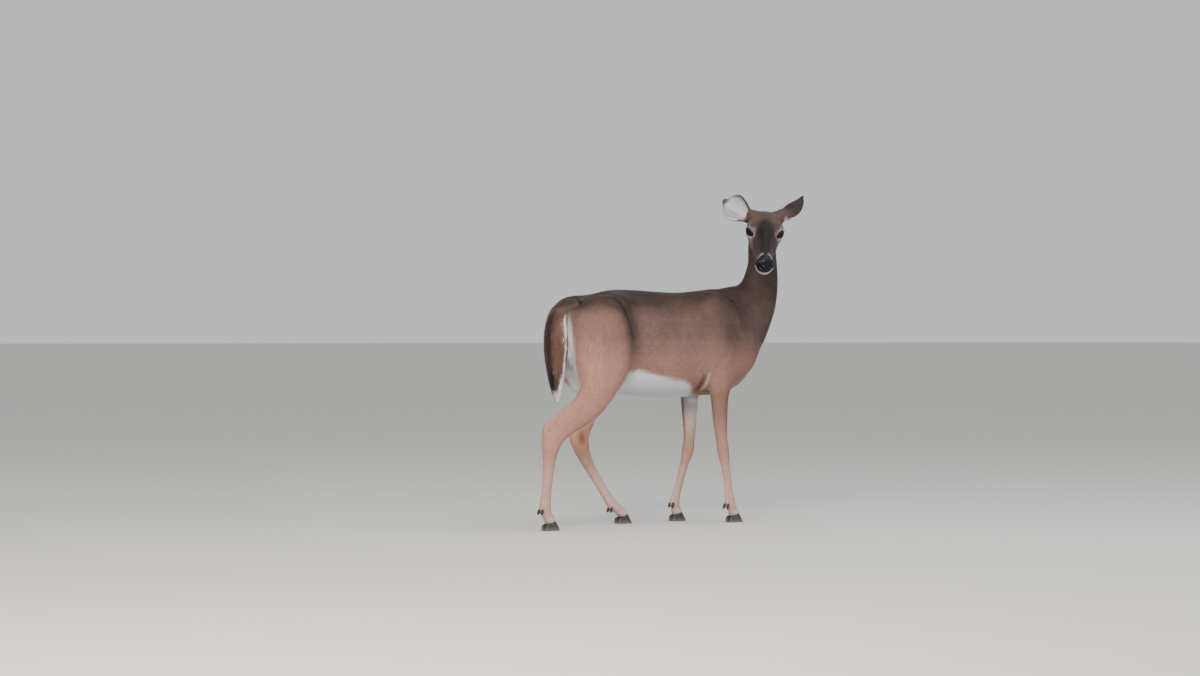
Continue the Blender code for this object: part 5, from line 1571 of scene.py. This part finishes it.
def wet_eye(colours):
    """A deer's eye: nearly black iris with a wide lying pupil, under a clear wet cornea that glints."""
    material, tree = started("wet_cornea")
    gaze = add(tree, "Attribute", {}, attribute_name="gaze")
    across, up, _ = add(tree, "SeparateXYZ", {0: gaze["Vector"]})
    # the pupil reaches 0.46 of the eye's radius across and 0.25 up
    wide = add(tree, "Math", {0: across, 1: 1 / 0.46}, operation="MULTIPLY")[0]
    tall = add(tree, "Math", {0: up, 1: 1 / 0.25}, operation="MULTIPLY")[0]
    oval = add(tree, "CombineXYZ", {0: wide, 1: tall})[0]
    oval = add(tree, "VectorMath", {0: oval}, operation="LENGTH")["Value"]
    disc = add(tree, "CombineXYZ", {0: across, 1: up})[0]
    disc = add(tree, "VectorMath", {0: disc}, operation="LENGTH")["Value"]
    angle = add(tree, "Math", {0: up, 1: across}, operation="ARCTAN2")[0]
    rays = add(tree, "CombineXYZ", {0: angle, 1: disc})[0]
    fibres = add(tree, "TexNoise", {"Vector": rays, "Scale": 9.0, "Detail": 5.0})[0]
    iris = add(tree, "Mix", {0: fibres, 6: linear(colours.iris_dark), 7: linear(colours.iris)}, **COLOUR)
    in_pupil = add(tree, "MapRange", {0: oval, 1: 1.05, 2: 0.92})[0]
    beyond = add(tree, "MapRange", {0: disc, 1: 0.66, 2: 0.74})[0]
    colour = add(tree, "Mix", {0: in_pupil, 6: iris[2], 7: linear(colours.pupil)}, **COLOUR)
    colour = add(tree, "Mix", {0: beyond, 6: colour[2], 7: linear(colours.eye_white)}, **COLOUR)
    shader = add(tree, "BsdfPrincipled", {"Base Color": colour[2], "Roughness": 0.30, "IOR": 1.38,
                                          "Specular IOR Level": 0.0,
                                          "Coat Weight": 0.7, "Coat Roughness": 0.02, "Coat IOR": 1.34})
    add(tree, "OutputMaterial", {0: shader[0]})
    return material


def hoof_horn(colours):
    """Keratin horn, grown in rings: satin, near black, paler and scuffed toward the ground."""
    material, tree = started("hoof_keratin")
    place = add(tree, "TexCoord", {})["Object"]
    height = add(tree, "SeparateXYZ", {0: place})[2]
    # growth rings 2.2 mm apart, and scuffs 4 mm across over the lowest 14 mm
    rings = add(tree, "TexWave", {"Vector": place, "Scale": 0.314 / 0.0022, "Distortion": 2.0,
                                  "Detail": 2.0, "Detail Scale": 0.8}, bands_direction="Z")[1]
    scuffs = add(tree, "TexNoise", {"Vector": place, "Scale": 1 / 0.004, "Detail": 5.0})[0]
    low = add(tree, "MapRange", {0: height, 1: 0.014, 2: 0.0})[0]
    worn = add(tree, "Math", {0: low, 1: scuffs}, operation="MULTIPLY")[0]
    horn = add(tree, "Mix", {0: rings, 6: linear(colours.horn), 7: linear(colours.horn_ring)}, **COLOUR)
    colour = add(tree, "Mix", {0: worn, 6: horn[2], 7: linear(colours.horn_worn)}, **COLOUR)
    bump = add(tree, "Bump", {"Strength": 0.35, "Distance": 0.0003, "Height": rings})[0]
    roughness = add(tree, "MapRange", {0: scuffs, 3: 0.32, 4: 0.55})[0]
    shader = add(tree, "BsdfPrincipled", {"Base Color": colour[2], "Roughness": roughness,
                                          "IOR": 1.55, "Normal": bump})
    add(tree, "OutputMaterial", {0: shader[0]})
    return material


def stiff_hair(name, root, tip):
    """Lashes or whiskers: coarse single hairs of keratin, grown smooth, so each shows a thin glint."""
    material, tree = started(name)
    strand = add(tree, "Attribute", {}, attribute_name="strand")
    along = add(tree, "SeparateColor", {0: strand["Color"]})[0]
    colour = add(tree, "Mix", {0: along, 6: linear(root), 7: linear(tip)}, **COLOUR)[2]
    shader = add(tree, "BsdfPrincipled", {"Base Color": colour, "Roughness": 0.4, "IOR": 1.55})
    add(tree, "OutputMaterial", {0: shader[0]})
    return material


def matt_paint(name, code):
    """Matt studio paint, rolled on: no shine, and very slightly mottled, in patches 250 mm across."""
    material, tree = started(name)
    place = add(tree, "TexCoord", {})["Object"]
    mottle = add(tree, "TexNoise", {"Vector": place, "Scale": 1 / 0.25, "Detail": 4.0})[0]
    paler = [min(value * 1.05, 1.0) for value in linear(code)]
    colour = add(tree, "Mix", {0: mottle, 6: linear(code), 7: paler}, **COLOUR)[2]
    shader = add(tree, "BsdfPrincipled", {"Base Color": colour, "Roughness": 0.85})
    add(tree, "OutputMaterial", {0: shader[0]})
    return material


# ---------------------------------------------------------------- settings


def hex_colour(name, default, description):
    """A setting that holds an sRGB hex colour."""
    return StringProperty(name=name, description=description, default=default, maxlen=7)


class DeerColours(bpy.types.PropertyGroup):
    brown: hex_colour("Brown", "#82655b", "sRGB colour of the back and flanks")
    grey: hex_colour("Grey-brown", "#725b55", "sRGB colour of the greyer drifts in the coat")
    tan: hex_colour("Tan", "#d9a691", "sRGB colour of the lower legs")
    fawn: hex_colour("Fawn", "#c28f7c", "sRGB colour between tan and brown")
    rust: hex_colour("Rust", "#a8643f", "sRGB colour of the tail's side and the hock glands")
    # the dark colour is also that of the painted shade in the folds and over the back, neck and head
    dark: hex_colour("Dark", "#120e0d", "sRGB colour of the darkest hair")
    white: hex_colour("White", "#efeef0", "sRGB colour of the belly, throat and eye rings")
    nose: hex_colour("Nose", "#070606", "sRGB colour of the bare nose")
    nose_high: hex_colour("Nose pebbles", "#100e0e", "sRGB colour of the nose's raised pebbles")
    iris: hex_colour("Iris", "#24160d", "sRGB colour of the iris fibres")
    iris_dark: hex_colour("Dark iris", "#120a06", "sRGB colour between the iris fibres")
    pupil: hex_colour("Pupil", "#020203", "sRGB colour of the pupil")
    eye_white: hex_colour("Eye rim", "#1b1310", "sRGB colour of the eyeball round the iris")
    horn: hex_colour("Horn", "#1d1916", "sRGB colour of the hooves")
    horn_ring: hex_colour("Horn rings", "#2c2622", "sRGB colour of the hooves' growth rings")
    horn_worn: hex_colour("Worn horn", "#8a7d6e", "sRGB colour of the hooves' scuffed edges")


class DeerShape(bpy.types.PropertyGroup):
    net: FloatProperty(name="Net", description="Spacing of the skin's first net", default=0.007, min=0.003,
                       unit="LENGTH")
    rounds: IntProperty(name="Rounds", description="Times that the net is smoothed and laid on the skin",
                        default=3, min=1)
    fullness: FloatProperty(name="Fullness", description="Share of the coat's full number of tufts",
                            default=1.0, min=0.01, max=1.5, subtype="FACTOR")


class DeerStage(bpy.types.PropertyGroup):
    floor: hex_colour("Floor", "#d5d3cf", "sRGB colour of the studio floor")
    camera_at: FloatVectorProperty(name="Camera", description="Where the camera stands, before the "
                                   "anatomy's middle is taken off", default=(-6.0308, -7.9804, 0.63),
                                   subtype="XYZ", unit="LENGTH")
    lens: FloatProperty(name="Lens", description="Focal length in millimetres", default=88.5, min=1.0)


FLOOR_SIZE = 600.0
CAMERA_AHEAD = (0.588, 0.809)  # the way the camera looks, in x and y
SKY = ("#eceeef", 0.80)
LIT_AT = Vector((0, 0, 0.6))
# A broad soft sky, a key from above the camera's left, and a low fill: name, place, size, power, colour
LIGHTS = [
    ("top", (0.6, -1.4, 4.2), 4.0, 80, "#f6f8ff"),
    ("key", (-4.6, -4.2, 3.2), 1.8, 340, "#fff8f0"),
    ("fill", (3.2, -5.2, 1.8), 3.0, 90, "#f4f6ff"),
]
LASHES = 34  # to an upper lid
LASH_RING = (0.0160, 0.0128)  # from the eye's middle toward the nose, and up
LASH_RADIUS = 0.00022
LASH_COLOURS = ("#0b0908", "#1a1411")
WHISKERS = 46
WHISKER_RADIUS = 0.00016
WHISKER_COLOURS = ("#171310", "#6f655b")


# ---------------------------------------------------------------- operators


class DEER_OT_skin(bpy.types.Operator):
    """Makes the one skin that stands for all the flesh"""

    bl_idname = "deer.skin"
    bl_label = "Skin"

    def execute(self, context):
        shape = context.scene.deer_shape
        bm = skin_net(shape.net, shape.rounds)
        bmesh.ops.triangulate(bm, faces=[face for face in bm.faces if len(face.verts) > 4])
        bm.transform(Matrix.Translation(Vector(-CENTRE)))
        bm.normal_update()
        hide = haired_hide(context.scene.deer_colours)
        finished(from_bmesh(bm, "skin"), "skin", hide, FLESH)
        mesh, points, normals = read_skin()
        keep_masks(mesh, "markings", markings(points, normals))
        keep_masks(mesh, "strand", np.tile((0.45, 0.35, 0.0, 0.0), (len(points), 1)))
        return {"FINISHED"}


class DEER_OT_coat(bpy.types.Operator):
    """Lays the coat over the skin in tufts, one piece for each part of the body"""

    bl_idname = "deer.coat"
    bl_label = "Coat"

    def execute(self, context):
        rng = np.random.default_rng(11)
        found, (points, corners) = scattered(rng, context.scene.deer_shape.fullness)
        keep = ~bare_skin(found[0])
        roots, normals, masks = (values[keep] for values in found)
        ways = lie(roots, normals, rng)
        length, width, stand, _ = hair_size(roots, normals, masks)
        groups = coat_groups(roots)
        tree = BVHTree.FromPolygons(points.tolist(), corners.tolist())
        # a lock shows the marking that it lies over, not the one at its root
        over, facing = roots + ways * (0.5 * length)[:, None], normals.copy()
        for i in np.flatnonzero(length > 0.024):
            over[i], facing[i] = tree.find_nearest(over[i])[:2]
        masks = markings(over, facing)
        material = guard_hair(context.scene.deer_colours)
        for group in sorted(set(groups)):
            mine = np.flatnonzero(groups == group)
            sizes = (values[mine] for values in (roots, normals, ways, length, width, stand))
            shape, triangles, shades, along, across = tufts(*sizes, tree, rng)
            name = "coat_" + group
            coat = finished(from_triangles(name, shape, triangles), name, material).data
            coat.normals_split_custom_set_from_vertices(shades.astype(np.float32))
            per = len(along)
            keep_masks(coat, "markings", np.repeat(masks[mine], per, 0))
            chance = np.repeat(rng.random(len(mine)), per)
            zero = np.zeros_like(chance)
            keep_masks(coat, "strand", np.stack([np.tile(along, len(mine)), chance, zero, zero], 1))
            places = np.repeat(unwrap_of(group, roots[mine]), per, 0)
            patch = np.stack([np.tile(across * 0.0015, len(mine)), np.tile(along * 0.003, len(mine))], 1)
            unwrap = coat.uv_layers.new(name="OFBake")
            unwrap.data.foreach_set("uv", (places + patch)[triangles.ravel()].astype(np.float32).ravel())
            print(name, len(mine), "tufts,", len(triangles), "triangles")
        return {"FINISHED"}


class DEER_OT_eyes(bpy.types.Operator):
    """Makes the eyes, with their corneas"""

    bl_idname = "deer.eyes"
    bl_label = "Eyes"

    def execute(self, context):
        material = wet_eye(context.scene.deer_colours)
        for name, side in (("left", 1), ("right", -1)):
            centre, out, nose, up = eye_axes(side)
            bm = bmesh.new()
            bmesh.ops.create_uvsphere(bm, u_segments=64, v_segments=48, radius=1)
            local = np.array([vert.co for vert in bm.verts])
            # the cornea bulges over the middle 60 degrees
            bulge = 0.0006 * ramp(local[:, 2], 0.74, 0.98)
            placed = centre + (local * (EYE_RADIUS - 0.0004 + bulge)[:, None]) @ np.stack([nose, up, out])
            for vert, at in zip(bm.verts, placed - CENTRE):
                vert.co = at
            bmesh.ops.recalc_face_normals(bm, faces=bm.faces)
            eyeball = "eyeball_" + name
            eye = finished(from_bmesh(bm, eyeball), eyeball, material, ["eye_" + name])
            layer = eye.data.attributes.new("gaze", "FLOAT_VECTOR", "POINT")
            layer.data.foreach_set("vector", local.astype(np.float32).ravel())
        return {"FINISHED"}


class DEER_OT_hairs(bpy.types.Operator):
    """Sets the eyelashes and whiskers"""

    bl_idname = "deer.hairs"
    bl_label = "Lashes and whiskers"

    def execute(self, context):
        rng = np.random.default_rng(5)
        lashes, whiskers = [], []
        for side in (-1, 1):
            centre, out, nose, up = eye_axes(side)
            for angle in np.linspace(0.16, 0.90, LASHES) * math.pi:
                flat = nose * math.cos(angle) * LASH_RING[0] + up * math.sin(angle) * LASH_RING[1]
                root = centre + flat + out * (math.sqrt((EYE_RADIUS + 0.0022) ** 2 - flat @ flat) + 0.0006)
                way = unit(out * 1.0 + unit(flat) * 0.55 - up * 0.35 + rng.normal(0, 0.07, 3))
                reach = 0.0085 + 0.0045 * math.sin(angle)
                lashes.append((root, way, up * 0.30, reach * rng.uniform(0.8, 1.1), LASH_RADIUS))
        _, points, normals = read_skin()
        hx, hy, hz = in_head(points).T
        lip = (hx > 0.095) & (hx < 0.150) & (np.abs(hy) > 0.017) & (hz < -0.022) & (hz > -0.064)
        for i in rng.choice(np.flatnonzero(lip), WHISKERS, replace=False):
            back = np.array((-0.45, math.copysign(1.0, hy[i]) * 0.35, -0.35)) @ HEAD
            way = unit(normals[i] * 0.8 + back + rng.normal(0, 0.10, 3))
            root = points[i] - normals[i] * 0.0005
            whiskers.append((root, way, -UP * 0.14, rng.uniform(0.018, 0.040), WHISKER_RADIUS))
        for name, hair, rows, colours in (("eyelashes", "eyelash_hair", lashes, LASH_COLOURS),
                                          ("whiskers", "whisker_hair", whiskers, WHISKER_COLOURS)):
            shape, triangles, along = spikes(*zip(*rows))
            material = stiff_hair(hair, *colours)
            hairs = finished(from_triangles(name, shape, triangles), name, material)
            zero = np.zeros_like(along)
            keep_masks(hairs.data, "strand", np.stack([along, zero, zero, zero], 1))
        return {"FINISHED"}


class DEER_OT_hooves(bpy.types.Operator):
    """Makes the hooves and dewclaws"""

    bl_idname = "deer.hooves"
    bl_label = "Hooves"

    def execute(self, context):
        material = hoof_horn(context.scene.deer_colours)
        claws, spurs = bmesh.new(), bmesh.new()
        claw_nodes, spur_nodes = [], []
        for foot, (side, _, coronet, dew_at) in FEET.items():
            for name, turn in (("inner", -side), ("outer", side)):
                build_claw(claws, coronet, turn)
                claw_nodes.append(f"hoof_{foot}_{name}")
                build_spur(spurs, (dew_at[0], coronet[1] + turn * DEWCLAW_APART, dew_at[1]))
                spur_nodes.append(f"dewclaw_{foot}_{name}")
        for name, bm, nodes in (("hoof_claws", claws, claw_nodes), ("hoof_spurs", spurs, spur_nodes)):
            bmesh.ops.recalc_face_normals(bm, faces=bm.faces)
            finished(from_bmesh(bm, name), name, material, nodes)
        return {"FINISHED"}


class DEER_OT_stage(bpy.types.Operator):
    """Sets the floor, lights and camera"""

    bl_idname = "deer.stage"
    bl_label = "Stage"

    def execute(self, context):
        stage = context.scene.deer_stage
        bpy.ops.mesh.primitive_plane_add(size=FLOOR_SIZE)
        floor = context.object
        floor.name = "studio_floor"
        floor.data.materials.append(matt_paint("studio_paint", stage.floor))
        world = bpy.data.worlds.new("studio")
        world.use_nodes = True
        sky = world.node_tree.nodes["Background"].inputs
        sky[0].default_value, sky[1].default_value = linear(SKY[0]), SKY[1]
        context.scene.world = world
        for name, at, size, power, colour in LIGHTS:
            lamp = bpy.data.lights.new(name, "AREA")
            lamp.size, lamp.energy, lamp.color = size, power, linear(colour)[:3]
            light = bpy.data.objects.new(name, lamp)
            light.location = at
            light.rotation_euler = (LIT_AT - light.location).to_track_quat("-Z", "Y").to_euler()
            context.scene.collection.objects.link(light)
        lens = bpy.data.cameras.new("camera")
        lens.lens, lens.sensor_width = stage.lens, 36.0
        camera = bpy.data.objects.new("camera", lens)
        camera.location = Vector(stage.camera_at) - Vector(CENTRE)
        camera.rotation_euler = (math.pi / 2, 0, math.atan2(CAMERA_AHEAD[1], CAMERA_AHEAD[0]) - math.pi / 2)
        context.scene.collection.objects.link(camera)
        context.scene.camera = camera
        return {"FINISHED"}


OPERATORS = (DEER_OT_skin, DEER_OT_coat, DEER_OT_eyes, DEER_OT_hairs, DEER_OT_hooves, DEER_OT_stage)


class DEER_PT_panel(bpy.types.Panel):
    """The deer's pieces and settings"""

    bl_idname = "DEER_PT_panel"
    bl_label = "White-tailed deer"
    bl_space_type = "VIEW_3D"
    bl_region_type = "UI"
    bl_category = "Deer"

    def draw(self, context):
        for group in (context.scene.deer_shape, context.scene.deer_colours, context.scene.deer_stage):
            for key in group.__annotations__:
                self.layout.prop(group, key)
        for operator in OPERATORS:
            self.layout.operator(operator.bl_idname)


CLASSES = (DeerColours, DeerShape, DeerStage) + OPERATORS + (DEER_PT_panel,)


def register():
    for cls in CLASSES:
        bpy.utils.register_class(cls)
    bpy.types.Scene.deer_colours = PointerProperty(type=DeerColours)
    bpy.types.Scene.deer_shape = PointerProperty(type=DeerShape)
    bpy.types.Scene.deer_stage = PointerProperty(type=DeerStage)


def unregister():
    del bpy.types.Scene.deer_colours, bpy.types.Scene.deer_shape, bpy.types.Scene.deer_stage
    for cls in reversed(CLASSES):
        bpy.utils.unregister_class(cls)


def main():
    register()
    bpy.ops.deer.skin()
    bpy.ops.deer.coat()
    bpy.ops.deer.eyes()
    bpy.ops.deer.hairs()
    bpy.ops.deer.hooves()
    bpy.ops.deer.stage()


if __name__ == "__main__":
    main()
